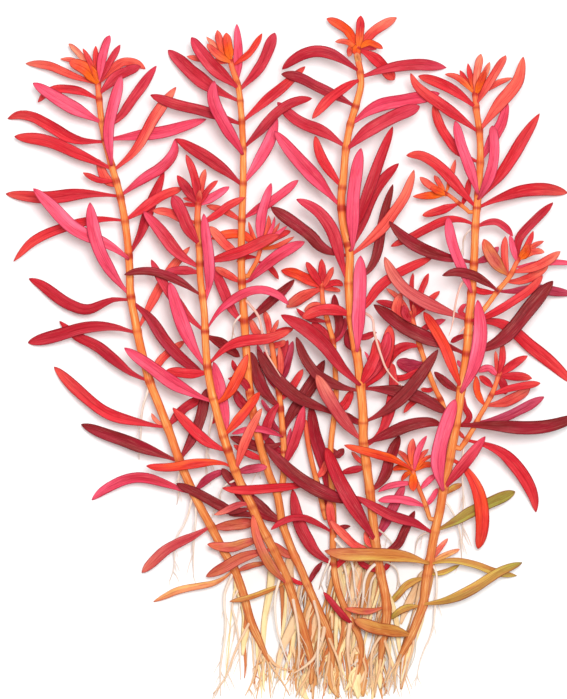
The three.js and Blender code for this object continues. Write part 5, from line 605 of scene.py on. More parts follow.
leaf_d_22 scarlet 3.0 -90 2 36.6 -24 38.6 -25 40.7 -27.2 42.5 -30.5 43.6 -35 43.7 -40 42.9 -44
"""),
("p", """
- rose 1.6 -1 0 -1 -9.3 -3.6 -5.2 -5.8 1.2
- coral 1.5 -1 0 -1 -8 -0.6 -3.6 -1 0.8
- mauve 1.5 -1 0 -0.3 -18.4 -2.5 -16.4 -3.2 -13.1
- wine 2.0 -1 0 -0.3 -22.8 -2.5 -21.4 -3.9 -19.2
- pink 1.3 -1 0 0.1 -24.5 1 -21.2 1.6 -17.3
"""),
("c", """
- cherry 3.0 -3 0 17.3 -8.2 20.8 -2.8 22.6 1 23 3.9
"""),
]

# Water roots by stem. A row is: width, then points x y from the stem.
ROOTS = [
("a", """
0.7 -30 -7.6 -31 -13 -31.4 -19 -32 -24.3
0.6 -22.9 -24.9 -23.2 -31 -23.6 -34.3
0.6 -19.9 -31.6 -21.2 -36.9 -24.1 -42.6 -23.9 -47.6 -25.2 -51.1
0.6 -19.4 -32.5 -19.5 -38 -19.8 -44 -19.7 -50.3
0.8 -10.9 -48.9 -13.2 -54.5 -12.8 -60 -13 -65 -13.8 -70 -14 -76.5
0.6 -9.4 -52.4 -11.2 -56 -10.2 -61 -9.8 -66 -9.6 -73
0.7 -7.2 -59.8 -9.4 -64 -11 -68 -13 -72.6 -15.6 -76
0.7 -4.6 -66 -6.5 -72 -8.3 -76.5
0.6 -3.7 -68 -5 -73 -6 -77
0.6 -3.2 -69 -3 -73 -2.8 -77
0.6 -3.3 -68.8 -0.9 -72.6 1.4 -76.5
1.0 -3.4 -68.5 -1 -70.2 1.5 -71
"""),
("e", """
0.7 -15.2 -11.8 -16.2 -16.8 -16.5 -20 -17 -24 -17.2 -28
0.6 -9.8 -28.6 -12.9 -30 -14.3 -33.4
0.8 -0.4 -48 -1.8 -56 -1.5 -62 0 -66 1.5 -70
0.8 2 -54.4 3.2 -60.4 3.4 -66 2.9 -73
0.8 6.1 -71 4.2 -74 2.6 -76.8
0.8 6.1 -73.4 6.3 -75.4 6.4 -77.2
"""),
("b", """
0.6 -8.8 8 -11 5.5 -11.3 2.2
0.6 -4.2 -24.2 -5.2 -26 -4.9 -28.5
0.8 6.6 -54.9 7.7 -60 7.6 -66 7.8 -74
1.1 9 -60.5 8.2 -65 6.6 -68.4 2 -71.5
0.8 10.6 -66.4 9.6 -70.4 8.9 -76.5
0.8 11 -70.1 11 -74 11.6 -77.2
0.8 10 -63.2 12 -68 13.2 -75
"""),
("i", """
0.7 11 -45 9.2 -48.6 8 -53
0.7 11 -46.6 9.9 -49.4 9.7 -52.5
0.8 11 -42.6 13.4 -47.4 14 -52 15.5 -57
0.8 10.9 -41.4 14.6 -46 15.7 -51 16.4 -56.6
1.3 14.4 -59 14.3 -66 14.6 -72.4
0.8 17.1 -66 18 -70 17.3 -76
0.8 16.5 -71.4 15.4 -74 15 -77
"""),
("c", """
0.6 19.8 -39.3 22 -40.4 24 -43
0.9 20.9 -46.8 18.7 -49 17.6 -53 17.2 -59.6
0.7 21.2 -48.5 19.6 -51 18.9 -54 18.7 -58.6
0.6 20.9 -46.9 24 -47.4 25.2 -50 25 -53
0.8 22.3 -62 19.9 -66 19.1 -74
0.8 22 -63.6 23.4 -69 21.9 -75
0.8 21.4 -69 20.6 -73 20.1 -76.8
"""),
("d3", """
0.6 39.3 -21.2 39.3 -26 39.5 -33 39.7 -42.5
"""),
("d", """
0.6 42.2 27 40.4 25.6 39.7 24 39.5 20.8
0.6 34.8 -33 36.6 -34.6 38.3 -38 39 -42 39.3 -46.5
0.6 33.3 -40.4 30.9 -40.6 29.8 -42 29 -44.6
0.6 32.2 -46.8 33.6 -49 33.7 -52 33.3 -57 32.8 -62 30.5 -68 29.2 -74.6
0.7 28.6 -62.4 28.6 -66 27.5 -70 26 -75
0.7 25.8 -67.9 24.9 -71 24.4 -76
0.6 25.1 -69.2 23.2 -72.5 22.4 -76.5
"""),
]
# Roots that hang over the leaves in front: rows as in ROOTS.
FRONT_ROOTS = [
("b", """
0.7 -8.9 11.5 -5.6 7.5 -4.7 4 -4 0 -2.5 -2.8 -0.6 -6
"""),
("c", """
0.7 14.9 8.2 19 7.6 20 3.5 21 0 23 -5 26 -8
"""),
("d", """
0.6 41.6 15.8 39.3 14.8 38.3 12 37.6 9 37.2 6 36.3 3
0.6 40.7 5.7 39.7 4.8 38.5 3.4
"""),
]


def numbers(text):
    """The numbers in a piece of text."""
    return np.array(text.split(), float)


def rows_of(table):
    """Each stem's name with each of its rows, in the order of the table."""
    return [(name, row.split()) for name, text in table for row in text.strip().split("\n")]


def linear(rgb):
    """A screen colour, 0 to 255, as the linear colour that the shader takes."""
    v = np.array(rgb) / 255.0
    return np.where(v <= 0.04045, v / 12.92, ((v + 0.055) / 1.055) ** 2.4)


def unit(rows):
    """Vectors brought to a length of 1."""
    return rows / np.maximum(np.linalg.norm(rows, axis=1), 1e-9)[:, None]


def run_of(points):
    """How far along a line of points each point lies."""
    return np.concatenate([[0], np.cumsum(np.linalg.norm(np.diff(points, axis=0), axis=1))])


def bell(x, width):
    """A soft bump of height 1 at 0."""
    return np.exp(-(x / width) ** 2)


def share_between(value, low, high):
    """0 at low, 1 at high, even in between."""
    return np.clip((value - low) / (high - low), 0, 1)


def blend(first, second, share):
    return first * (1 - share) + second * share


def sides_of(along, roll):
    """The directions to the right of a course and upward from it, rolled about it."""
    right = unit(np.cross(along, UP))
    normal = np.cross(right, along)
    cos, sin = np.cos(roll), np.sin(roll)
    return right * cos + np.cross(along, right) * sin, normal * cos + np.cross(along, normal) * sin


class Path:
    """A centripetal Catmull-Rom curve with points at even distances, as the solids use."""

    DIVISIONS = 200

    def __init__(self, points):
        self.p = np.array(points, float)
        if self.p.shape[1] == 2:
            self.p = np.column_stack([self.p, np.zeros(len(self.p))])
        self.t = np.linspace(0, 1, self.DIVISIONS + 1)
        self.lengths = run_of(self.at_t(self.t))
        self.length = self.lengths[-1]

    def at_t(self, t):
        last = len(self.p) - 1
        place = np.asarray(t, float) * last
        start = np.clip(np.floor(place).astype(int), 0, last - 1)
        weight = (place - start)[:, None]
        before = 2 * self.p[0] - self.p[1]
        after = 2 * self.p[-1] - self.p[-2]
        padded = np.vstack([before, self.p, after])
        p0, p1, p2, p3 = (padded[start + k] for k in range(4))

        def gap(a, b):
            return np.maximum(np.sum((a - b) ** 2, axis=1) ** 0.25, 1e-4)[:, None]

        d0, d1, d2 = gap(p0, p1), gap(p1, p2), gap(p2, p3)
        t1 = ((p1 - p0) / d0 - (p2 - p0) / (d0 + d1) + (p2 - p1) / d1) * d1
        t2 = ((p2 - p1) / d1 - (p3 - p1) / (d1 + d2) + (p3 - p2) / d2) * d1
        c2 = -3 * p1 + 3 * p2 - 2 * t1 - t2
        c3 = 2 * p1 - 2 * p2 + t1 + t2
        return p1 + t1 * weight + c2 * weight ** 2 + c3 * weight ** 3

    def t_of(self, share):
        return np.interp(np.asarray(share, float) * self.length, self.lengths, self.t)

    def at(self, share):
        return self.at_t(self.t_of(share))

    def tip(self):
        return self.at([1.0])[0]

    def along(self, share):
        t = self.t_of(share)
        step = 1e-3
        return unit(self.at_t(np.clip(t + step, 0, 1)) - self.at_t(np.clip(t - step, 0, 1)))


# Stems: the same centre lines and trimmed feet as the solids.
TRIM_POINTS = 201
TRIM_KEEP = 12
FOOT_OVERLAP = 0.75
stems = {}
for name, (radius, text) in STEMS.items():
    path = Path(numbers(text).reshape(-1, 3))
    if name in GROWS_FROM:
        parent = stems[GROWS_FROM[name]]
        reach = parent["radius"] + JOINT_GAP + FOOT_OVERLAP * radius
        kept = []
        for p in path.at(np.linspace(0, 1, TRIM_POINTS)):
            if np.linalg.norm(parent["line"] - p, axis=1).min() < reach:
                break
            kept.append(p)
        path = Path([p for k, p in enumerate(kept) if k % TRIM_KEEP == 0 or k == len(kept) - 1])
    steps = max(2, int(math.floor(path.length / STEM_STEP + 0.5)))
    bends = path.at(np.linspace(0, 1, steps + 1))
    line = []
    for start, end in zip(bends[:-1], bends[1:]):
        parts = math.ceil(np.linalg.norm(end - start) / STATION_STEP)
        line += [start + (end - start) * k / parts for k in range(parts)]
    stems[name] = {"path": path, "line": np.array(line), "radius": radius, "whorls": []}


def nearest_on_stem(name, spot):
    """The point of a stem's line nearest to a spot seen from above, and how far off it is."""
    line = stems[name]["line"][END_STATIONS:-END_STATIONS]
    gaps = np.hypot(line[:, 0] - spot[0], line[:, 1] - spot[1])
    k = int(gaps.argmin())
    return line[k], float(gaps[k])


def rooted(points, root):
    """The points with the first one moved a little behind the stem's middle."""
    away = np.linalg.norm(points[1] - root[:2])
    first = root[:2] - (points[1] - root[:2]) * ROOTED_DEPTH / away
    return np.vstack([first, points[1:]])


def path_with_height(plan, base, lift, arch):
    """The plan raised: from its base by the lift at its tip and the arch at its middle."""
    s = np.linspace(0, 1, max(4, math.ceil(plan.length / PLAN_STEP)) + 1)
    points = plan.at(s)
    points[:, 2] = base + lift * s ** LIFT_POWER + arch * 4 * s * (1 - s)
    return Path(points)


def corner_points(path, rings, width, roll, sides):
    """Where a leaf solid's edge corners lie, ring by ring, and its tip."""
    shares = np.array([s for s, _ in rings])
    half = np.array([w for _, w in rings]) * width / 2
    centre = path.at(shares)
    right, up = sides_of(path.along(shares), roll)
    drop = 0.5 * LEAF_HALF_THICK * np.sqrt(half * 2 / width)[:, None] if sides == 3 else 0
    across = right * half[:, None]
    return np.vstack([centre + across - up * drop, centre - across - up * drop, path.tip()])


node_points = {}
for node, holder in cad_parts.items():
    flat = np.zeros(len(holder.data.vertices) * 3, np.float32)
    holder.data.vertices.foreach_get("co", flat)
    node_points[node] = flat.reshape(-1, 3).astype(float) / MM - np.array(SHIFT)


def points_under(points, spot, reach):
    return points[np.hypot(points[:, 0] - spot[0], points[:, 1] - spot[1]) < reach]


def gaps_to(points, wanted):
    """How far each wanted point lies from the nearest of the points."""
    return np.linalg.norm(points[None] - wanted[:, None], axis=2).min(1)


def rise_of_leaf(node, plan, base, width, lift, arch, rings, roll, sides):
    """A leaf's rise and arch in its CAD node: the pair whose corners lie on the node's own corners."""
    points = node_points[node]
    target = LEAF_HALF_THICK - base if lift == FLOOR_CONTACT else lift
    near_tip = points_under(points, plan.tip(), TIP_BESIDE)
    lifts = [target + extra for extra in LIFTS]
    if len(near_tip):
        lifts = [h for h in lifts if np.abs(near_tip[:, 2] - base - h).min() < TIP_HEIGHT] or lifts
    low, high = plan.p.min(0) - LEAF_MARGIN, plan.p.max(0) + LEAF_MARGIN
    local = points[np.all((points[:, :2] > low[:2]) & (points[:, :2] < high[:2]), axis=1)]
    best = (math.inf, target, arch)
    if not len(local):
        return best[1:]
    for tip_lift in lifts:
        for extra in ARCHES:
            path = path_with_height(plan, base, tip_lift, arch + extra)
            gaps = gaps_to(local, corner_points(path, rings, width, roll, sides))
            miss = float(np.sort(gaps)[: max(2, len(gaps) - 1)].mean())
            if miss < best[0]:
                best = (miss, tip_lift, arch + extra)
    return best[1:]


class Surface:
    """Gathers closed loops into one mesh, with a tone and a place for the materials at each point."""

    def __init__(self):
        self.points, self.faces, self.tones, self.places = [], [], [], []
        self.count = 0

    def add_rings(self, rings, tones, places, start=None, end=None):
        """Joins rings of equal size into a closed skin, with a fan to a point or the middle at each end."""
        rows, cols = rings.shape[:2]
        ends = [rings[0].mean(0) if start is None else start, rings[-1].mean(0) if end is None else end]
        self.points += [rings.reshape(-1, 3), np.array(ends)]
        for kept, values in ((self.tones, tones), (self.places, places)):
            kept += [values.reshape(-1, 3), np.array([values[0].mean(0), values[-1].mean(0)])]
        index = self.count + np.arange(rows * cols).reshape(rows, cols)
        following = np.roll(index, -1, axis=1)
        quads = np.stack([index[:-1], following[:-1], following[1:], index[1:]], axis=2)
        self.faces += quads.reshape(-1, 4).tolist()
        cap_start = self.count + rows * cols
        for k in range(cols):
            self.faces.append([cap_start, int(following[0, k]), int(index[0, k])])
            self.faces.append([cap_start + 1, int(index[-1, k]), int(following[-1, k])])
        self.count += rows * cols + 2

    def make(self, name, material):
        """The object, in metres and in the part's frame."""
        mesh = bpy.data.meshes.new(name)
        points = np.vstack(self.points)
        mesh.from_pydata(((points + np.array(SHIFT)) * MM).tolist(), [], self.faces)
        tone = mesh.attributes.new("tone", "FLOAT_COLOR", "POINT")
        colours = np.column_stack([np.vstack(self.tones), np.ones(len(points))])
        tone.data.foreach_set("color", colours.astype(np.float32).ravel())
        place = mesh.attributes.new("place", "FLOAT_VECTOR", "POINT")
        place.data.foreach_set("vector", np.vstack(self.places).astype(np.float32).ravel())
        mesh.polygons.foreach_set("use_smooth", [True] * len(mesh.polygons))
        mesh.materials.append(material)
        mesh.update()
        piece = bpy.data.objects.new(name, mesh)
        bpy.context.scene.collection.objects.link(piece)
        return piece


def blade_outline(s, bluntness):
    """A leaf's share of its full width along its length: narrow foot, long even sides, rounded tip."""
    rise = share_between(s, 0, 0.44)
    foot = 0.24 + 0.76 * (rise * rise * (3 - 2 * rise)) ** 0.9
    return foot * np.maximum(1 - share_between(s, 0.52, 1.0) ** bluntness, 0) ** 0.75


def blade_tones(draw, s, a, tint, heart):
    """Washes of colour over a blade: second tint in patches, the tip's, painted shade on one side and a
    painted highlight on the other, the foot's.
    """
    tone = tone_of[tint]
    second, tip = (tone_of[name] for name in LEAF_TINTS[tint][:2])
    s, a = s[:, None], a[None]
    first_wave = np.sin(FULL_TURN * (draw.uniform(0.7, 1.6) * s + 0.12 * a) + draw.uniform(0, WAVE_SHIFT))
    other_wave = np.sin(FULL_TURN * (draw.uniform(0.3, 0.8) * s - 0.28 * a) + draw.uniform(0, WAVE_SHIFT))
    patch = np.clip(0.5 + first_wave * other_wave, 0, 1) * draw.uniform(0.15, 0.8)
    out = blend(tone, second, patch[..., None])
    tip_share = share_between(s, 0.5, 1.0) ** 1.4 * draw.uniform(0.2, 0.85)
    out = blend(out, tip, tip_share[..., None] + 0 * a[..., None])
    # Painted shade on one side of the midrib and a painted highlight on the other side; which side is picked
    # at random for each leaf.
    lean = draw.choice([-1.2, 1.2]) * a + 0.3 * np.sin(5 * s)
    dark = np.clip(0.5 + lean, 0, 1) * draw.uniform(0.25, 0.85)
    out = out * (1 - dark[..., None] * np.array([0.16, 0.44, 0.34]))
    painted_highlight = np.clip(0.35 - lean, 0, 1) * np.sin(math.pi * np.clip(s, 0, 1)) * draw.uniform(0.0, 0.4)
    out = blend(out, np.minimum(out * np.array([1.12, 2.0, 1.8]) + 0.02, 1.0), painted_highlight[..., None])
    if heart:
        foot_tone, reach, power, strength = tone_of["amber"], 0.62, 0.8, 0.9
    else:
        base = "ochre" if tint in ("ochre", "olive") else "crimson"
        foot_tone, reach, power, strength = blend(tone, tone_of[base], 0.6), 0.24, 1.1, 0.8
    foot = np.clip(1 - s / reach, 0, 1)[..., None] ** power * strength
    return blend(out, foot_tone, foot)


def add_leaf(surface, path, width, roll, tint, seed, small, heart):
    """A thin blade with a grooved midrib above, a rib below, cupped sides and a slightly wavy edge."""
    draw = random.Random(seed)
    rows, tip_rows, half_cols = SMALL_GRID if small else LARGE_GRID
    tip_shares = TIP_START + (TIP_END - TIP_START) * np.sin(np.linspace(0, math.pi / 2, tip_rows))
    s = np.concatenate([np.linspace(0, TIP_START, rows, endpoint=False), tip_shares])
    outline = blade_outline(s, draw.uniform(2.6, 3.6) if small else draw.uniform(3.0, 4.8))
    half = (np.maximum(outline, 0.04) * width / 2)[:, None]
    centre, along = path.at(s), path.along(s)
    s_col = s[:, None]
    right, normal = sides_of(along, roll + draw.uniform(-0.25, 0.25) * (s_col - 0.4))
    # Columns: from the left edge over the top to the right edge, and back below.
    even = np.linspace(-1, 1, 2 * half_cols + 1)
    top = 0.55 * np.sin(even * math.pi / 2 * 0.999) + 0.45 * even
    a = np.concatenate([top, top[1:-1][::-1]])
    above = np.concatenate([np.ones(len(top)), -np.ones(len(top) - 2)])
    body = np.sqrt(np.clip(1 - a ** 2, 0, 1))
    groove = 0.1 * min(1.0, width / 2.4) * bell(a, MIDRIB_WIDTH)
    rise = above * BLADE_HALF_THICK * body - np.where(above > 0, 1.0, 1.6) * groove
    petiole = np.clip(1 - s_col / 0.14, 0, 1)
    thick = blend(rise * (0.5 + 0.5 * outline[:, None]), above * body * half * 0.7, petiole)
    fold = draw.uniform(0.02, 0.22) * (1 - petiole)
    cup = draw.uniform(-0.14, 0.18) * (1 - petiole)
    wave = np.sin(draw.uniform(1.6, 3.6) * FULL_TURN * s_col + draw.uniform(0, WAVE_SHIFT))
    edge = 0.1 * wave * np.abs(a) ** 3 * (1 + 0.5 * np.sign(a))
    height = thick + half * (fold * np.abs(a) + cup * a ** 2 + edge)
    slim = 1 + 0.05 * np.sin(FULL_TURN * s_col * draw.uniform(1.0, 2.0) + draw.uniform(0, WAVE_SHIFT))
    across = half * slim * a
    rings = centre[:, None] + right[:, None] * across[..., None] + normal[:, None] * height[..., None]
    tones = blade_tones(draw, s, a, tint, heart)
    places = np.stack(np.broadcast_arrays(s_col, a, draw.random() * 50), axis=2)
    surface.add_rings(rings, tones, places, centre[0] - along[0] * 0.1, path.tip())


def add_tube(surface, centre, radii, sides, tones, lots, squash=1.0):
    """A round rod along a row of points, with its own radius, tone and lot at each."""
    right, normal = sides_of(unit(np.gradient(centre, axis=0)), 0.0)
    turn = np.linspace(0, FULL_TURN, sides, endpoint=False)[::-1]
    across = right[:, None] * (radii[:, None] * np.cos(turn))[..., None]
    upward = normal[:, None] * (radii[:, None] * squash * np.sin(turn))[..., None]
    rings = centre[:, None] + across + upward
    places = np.stack(np.broadcast_arrays(run_of(centre)[:, None], turn / FULL_TURN, lots[:, None]), axis=2)
    surface.add_rings(rings, np.repeat(tones[:, None], sides, axis=1), places)


class Skin:
    """A material in the making. Each step adds one shader node and hands back what that node gives out."""

    def __init__(self, name, roughness, specular):
        self.material = bpy.data.materials.new(name)
        self.material.use_nodes = True
        self.tree = self.material.node_tree
        self.give("Roughness", roughness)
        self.give("Specular IOR Level", specular)
        self.spot = self.node("ShaderNodeTexCoord", "Object", {})

    def feed(self, socket, value):
        """Joins a socket to another one, or sets it to a colour or a number."""
        if isinstance(value, bpy.types.NodeSocket):
            self.tree.links.new(value, socket)
        elif isinstance(value, tuple):
            socket.default_value = (*value, 1.0)
        else:
            socket.default_value = value

    def give(self, name, value):
        self.feed(self.tree.nodes["Principled BSDF"].inputs[name], value)

    def node(self, kind, outlet, feeds, **settings):
        made = self.tree.nodes.new(kind)
        for key, value in settings.items():
            setattr(made, key, value)
        for socket, value in feeds.items():
            self.feed(made.inputs[socket], value)
        return made.outputs[outlet] if outlet is not None else made.outputs

    def mesh_value(self, name, outlet):
        settings = {"attribute_name": name, "attribute_type": "GEOMETRY"}
        return self.node("ShaderNodeAttribute", outlet, {}, **settings)

    def mesh_place(self):
        return self.node("ShaderNodeSeparateXYZ", None, {0: self.mesh_value("place", "Vector")})

    def maths(self, operation, *values):
        return self.node("ShaderNodeMath", 0, dict(enumerate(values)), operation=operation)

    def times(self, value, factor):
        return self.maths("MULTIPLY", value, factor)

    def add(self, first, second):
        return self.maths("ADD", first, second)

    def fade(self, value, low, high, to_low=0.0, to_high=1.0):
        feeds = {"Value": value, "From Min": low, "From Max": high, "To Min": to_low, "To Max": to_high}
        return self.node("ShaderNodeMapRange", "Result", feeds, interpolation_type="SMOOTHSTEP")

    def mix(self, factor, first, second, way="MIX"):
        feeds = {0: factor, 6: first, 7: second}
        return self.node("ShaderNodeMix", 2, feeds, data_type="RGBA", blend_type=way)

    def shade(self, colour, by):
        """The colour multiplied by another."""
        return self.mix(1.0, colour, by, "MULTIPLY")

    def wash(self, colour, other, value, low, high, most):
        """The colour with the other one run into it: not at all at low, up to most at high."""
        return self.mix(self.fade(value, low, high, 0.0, most), colour, other)

    def noise(self, vector, scale, detail=3.0, roughness=0.55):
        feeds = {"Vector": vector, "Scale": scale, "Detail": detail, "Roughness": roughness}
        return self.node("ShaderNodeTexNoise", "Fac", feeds)

    def stretched(self, x, y, z):
        return self.node("ShaderNodeCombineXYZ", 0, {0: x, 1: y, 2: z})

    def bump(self, height, distance, strength):
        feeds = {"Strength": strength, "Distance": distance, "Height": height}
        self.give("Normal", self.node("ShaderNodeBump", "Normal", feeds))


# Materials: each reads the mesh's own tone and place, and adds fine variation; the stem's also paints shade
# along its flanks.
def leaf_material():
    skin = Skin("leaf_blade", 0.5, 0.14)
    tone = skin.mesh_value("tone", "Color")
    s, a, lot = skin.mesh_place()
    across = skin.maths("ABSOLUTE", a)
    cloud = skin.noise(skin.spot, 330.0)
    grain = skin.noise(skin.spot, 1500.0)
    fine_streak = skin.noise(skin.stretched(skin.times(s, 2.2), skin.times(a, 4.2), lot), 2.6, 4.0, 0.6)
    broad_streak = skin.noise(skin.stretched(skin.times(s, 1.6), skin.times(a, 1.3), lot), 2.1, 2.0)
    deep = skin.shade(tone, (0.74, 0.36, 0.44))
    pale = skin.mix(0.16, skin.shade(tone, (1.06, 1.2, 1.2)), (1.0, 0.5, 0.36))
    colour = skin.wash(tone, deep, broad_streak, 0.5, 0.66, 0.6)
    colour = skin.wash(colour, deep, fine_streak, 0.5, 0.7, 0.62)
    colour = skin.wash(colour, pale, fine_streak, 0.48, 0.3, 0.85)
    colour = skin.wash(colour, deep, cloud, 0.5, 0.75, 0.3)
    # Darker along the edges, at the tip, over the midrib and on the side veins.
    dark = skin.shade(colour, (0.54, 0.26, 0.4))
    colour = skin.wash(colour, dark, across, 0.78, 0.97, 0.95)
    colour = skin.wash(colour, dark, s, 0.955, 0.995, 0.7)
    rib = skin.times(skin.fade(across, 0.02, 0.1, 0.5, 0.0), skin.fade(s, 0.75, 0.97, 1.0, 0.0))
    colour = skin.mix(rib, colour, dark)
    vein_wave = skin.maths("SINE", skin.add(skin.times(s, 95.0), skin.times(across, -14.0)))
    colour = skin.mix(skin.times(skin.fade(vein_wave, 0.55, 1.0), 0.08), colour, dark)
    skin.give("Base Color", colour)
    skin.give("Roughness", skin.fade(grain, 0.3, 0.7, 0.44, 0.6))
    skin.bump(skin.add(skin.times(fine_streak, 0.8), skin.times(vein_wave, -0.12)), 0.00016, 0.5)
    return skin.material


def stem_material():
    skin = Skin("stem_skin", 0.45, 0.2)
    tone = skin.mesh_value("tone", "Color")
    distance, turn, joint = skin.mesh_place()
    angle = skin.times(turn, 6.2832)
    sine, cosine = skin.maths("SINE", angle), skin.maths("COSINE", angle)
    around = skin.stretched(skin.times(distance, 0.06), skin.times(sine, 1.3), skin.times(cosine, 1.3))
    streak = skin.noise(around, 3.2)
    grain = skin.noise(skin.spot, 1100.0)
    cloud = skin.noise(skin.spot, 150.0)
    # A deeper red, run in at random as streaks and clouds, and used as painted shade on the flanks.
    red_tone_and_flank_shade = skin.shade(tone, (0.84, 0.36, 0.3))
    light_side = skin.mix(0.5, tone, (1.0, 0.74, 0.34))
    colour = skin.wash(tone, red_tone_and_flank_shade, streak, 0.5, 0.68, 0.7)
    colour = skin.wash(colour, light_side, streak, 0.48, 0.32, 0.8)
    colour = skin.wash(colour, red_tone_and_flank_shade, cloud, 0.48, 0.68, 0.45)
    # Painted shade: the stem's flanks, as seen from above, run towards the deeper red.
    colour = skin.wash(colour, red_tone_and_flank_shade, skin.maths("ABSOLUTE", cosine), 0.62, 0.98, 0.75)
    colour = skin.wash(colour, skin.shade(colour, (0.55, 0.11, 0.15)), joint, 0.12, 0.85, 0.95)
    skin.give("Base Color", colour)
    skin.give("Roughness", skin.fade(grain, 0.3, 0.7, 0.4, 0.55))
    skin.bump(skin.add(streak, skin.times(grain, 0.3)), 0.0002, 0.45)
    return skin.material


def root_material():
    skin = Skin("root_skin", 0.6, 0.2)
    tone = skin.mesh_value("tone", "Color")
    distance, turn, lot = skin.mesh_place()
    cloud = skin.noise(skin.spot, 240.0)
    grain = skin.noise(skin.spot, 1600.0, 2.0)
    strand = skin.noise(skin.stretched(skin.times(distance, 0.09), skin.times(turn, 5.0), lot), 2.4)
    dusky = skin.shade(tone, (0.86, 0.66, 0.52))
    colour = skin.wash(tone, dusky, cloud, 0.42, 0.72, 0.45)
    colour = skin.wash(colour, dusky, strand, 0.5, 0.7, 0.7)
    skin.give("Base Color", colour)
    skin.bump(skin.add(grain, strand), 0.0001, 0.3)
    return skin.material


def floor_material():
    skin = Skin("floor_paper", 0.95, 0.1)
    light, less = (FLOOR_WHITE,) * 3, (FLOOR_WHITE * 0.96,) * 3
    skin.give("Base Color", skin.wash(light, less, skin.noise(skin.spot, 9.0, 2.0), 0.3, 0.7, 0.03))
    return skin.material


leaf_skin, stem_skin, root_skin = leaf_material(), stem_material(), root_material()
tone_of = {name: linear(rgb) for name, rgb in TINTS.items()}


def place_piece(piece, slot, *nodes):
    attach(piece, "root")
    if nodes:
        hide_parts(*nodes)


def clear_of_stem(stem, plan):
    """The plan of a leaf of its own, from where it has come clear of its stem."""
    wanted = stems[stem]["radius"] + JOINT_GAP + CLEAR_BESIDE_STEM
    start = 0.0
    while start < LATEST_START and nearest_on_stem(stem, plan.at([start])[0])[1] <= wanted:
        start += START_STEP
    return Path(plan.at(start + (1 - start) * np.arange(9) / 8)[:, :2])


# Leaves: one that is a solid of its own starts over its stem from this arch on, and beside it below that.
HIGH_ARCH = 2
STALK_SHARE = 0.35
STALK_RISE = 0.7
BLADE_POINTS = 14
# The least length of a leaf that marks a joint of its stem.
WHORL_LEAF = 6
blades = {name: Surface() for name in stems}
own_blades = {}
for number, (stem, (own, tint, *row)) in enumerate(rows_of(LEAVES), 1):
    width, lift, arch, *flat = (float(value) for value in row)
    fused = own == "-"
    roll = LEAF_ROLL * math.sin(number * ROLL_PACE)
    points = np.array(flat).reshape(-1, 2)
    root, _ = nearest_on_stem(stem, points[0])
    radius = stems[stem]["radius"]
    base = root[2]
    plan = Path(rooted(points, root) if fused else points)
    if not fused and arch >= HIGH_ARCH and lift > 0:
        base = root[2] + radius + JOINT_GAP + CLEAR_ABOVE_STEM
    elif not fused:
        plan = clear_of_stem(stem, plan)
    small = fused and plan.length < SMALL_LEAF
    rings, sides = (SMALL_LEAF_RINGS if small else FUSED_LEAF_RINGS, 3) if fused else (LEAF_RINGS, 4)
    cad_node = f"stem_{stem}" if fused else own
    lift, arch = rise_of_leaf(cad_node, plan, base, width, lift, arch, rings, roll, sides)
    path = path_with_height(plan, base, lift, arch)
    if not fused:
        # The blade's stalk goes on to the stem, where the solid stops short of it.
        stalk = root + (path.p[0] - root) * STALK_SHARE
        if arch >= HIGH_ARCH and base > root[2] + radius:
            stalk = root + np.array([0, 0, radius * STALK_RISE])
        path = Path(np.vstack([stalk, path.at(np.linspace(0.03, 1, BLADE_POINTS))]))
    if path.length > WHORL_LEAF:
        stems[stem]["whorls"].append(root)
    tip_gap = np.linalg.norm(stems[stem]["line"][0] - root)
    heart = tip_gap < AMBER_HEARTS.get(stem, 0) and plan.length < HEART_LEAF and tint in HEART_TINTS
    surface = blades[stem] if fused else own_blades.setdefault(own, (Surface(), tint))[0]
    add_leaf(surface, path, width, roll, tint, number, small, heart)

# Stems: shares of the radius and depths of the red rings, by distance from the tip or from the foot.
TIP_TAPER = ([0, 0.6, 4, 22, 60], [0.4, 0.62, 0.72, 0.8, 1.0])
FOOT_TAPER = ([0, 1.0, 7], [0.32, 0.5, 1.0])
RING_DEPTHS = ([40, 110], [1.0, 0.45])
RING_SPACING = 3.0
SWELLING = 0.13
SWELLING_REACH = 0.8
RED_TIP = 9
STEM_FOOT_Y, STEM_MIDDLE_Y = -66, -10
stem_draw = random.Random(3)
for name, stem in stems.items():
    rod = Surface()
    path = stem["path"]
    parent = GROWS_FROM.get(name)
    centre = path.at(np.linspace(0, 1, max(24, int(path.length / STEM_ROW_STEP))))
    if parent:
        line = stems[parent]["line"]
        hold = line[np.linalg.norm(line - centre[-1], axis=1).argmin()]
        centre = np.vstack([centre, centre[-1] + (hold - centre[-1]) * np.array([[0.3], [0.6], [0.9]])])
    distance = run_of(centre)
    joints = np.zeros(len(centre))
    marks = []
    for whorl in sorted(stem["whorls"], key=lambda p: -p[1]):
        spot = distance[np.linalg.norm(centre - whorl, axis=1).argmin()]
        if all(abs(spot - mark) > RING_SPACING for mark in marks):
            marks.append(spot)
    for mark in marks:
        reach = stem_draw.uniform(0.5, 1.0)
        depth = stem_draw.uniform(0.55, 1.0) * np.interp(mark, *RING_DEPTHS)
        joints = np.maximum(joints, depth * bell(distance - mark, reach))
    taper = np.interp(distance, *TIP_TAPER)
    if not parent:
        taper = taper * np.interp(distance[-1] - distance, *FOOT_TAPER)
    swell = sum(SWELLING * bell(distance - mark, SWELLING_REACH) for mark in marks)
    height_share = share_between(centre[:, 1], STEM_FOOT_Y, STEM_MIDDLE_Y)[:, None]
    tones = blend(tone_of["stem_foot"], tone_of["stem_middle"], height_share)
    tones = blend(tones, tone_of["stem_top"], np.clip(1 - distance / RED_TIP, 0, 1)[:, None])
    add_tube(rod, centre, stem["radius"] * (taper + swell), STEM_SIDES, tones, joints)
    place_piece(rod.make(f"shoot_{name}_stem", stem_skin), "shoot", f"stem_{name}")
    if blades[name].count:
        place_piece(blades[name].make(f"shoot_{name}_leaves", leaf_skin), "leaf_red")

for own, (surface, tint) in own_blades.items():
    place_piece(surface.make(f"{own}_blade", leaf_skin), LEAF_TINTS[tint][2], own)


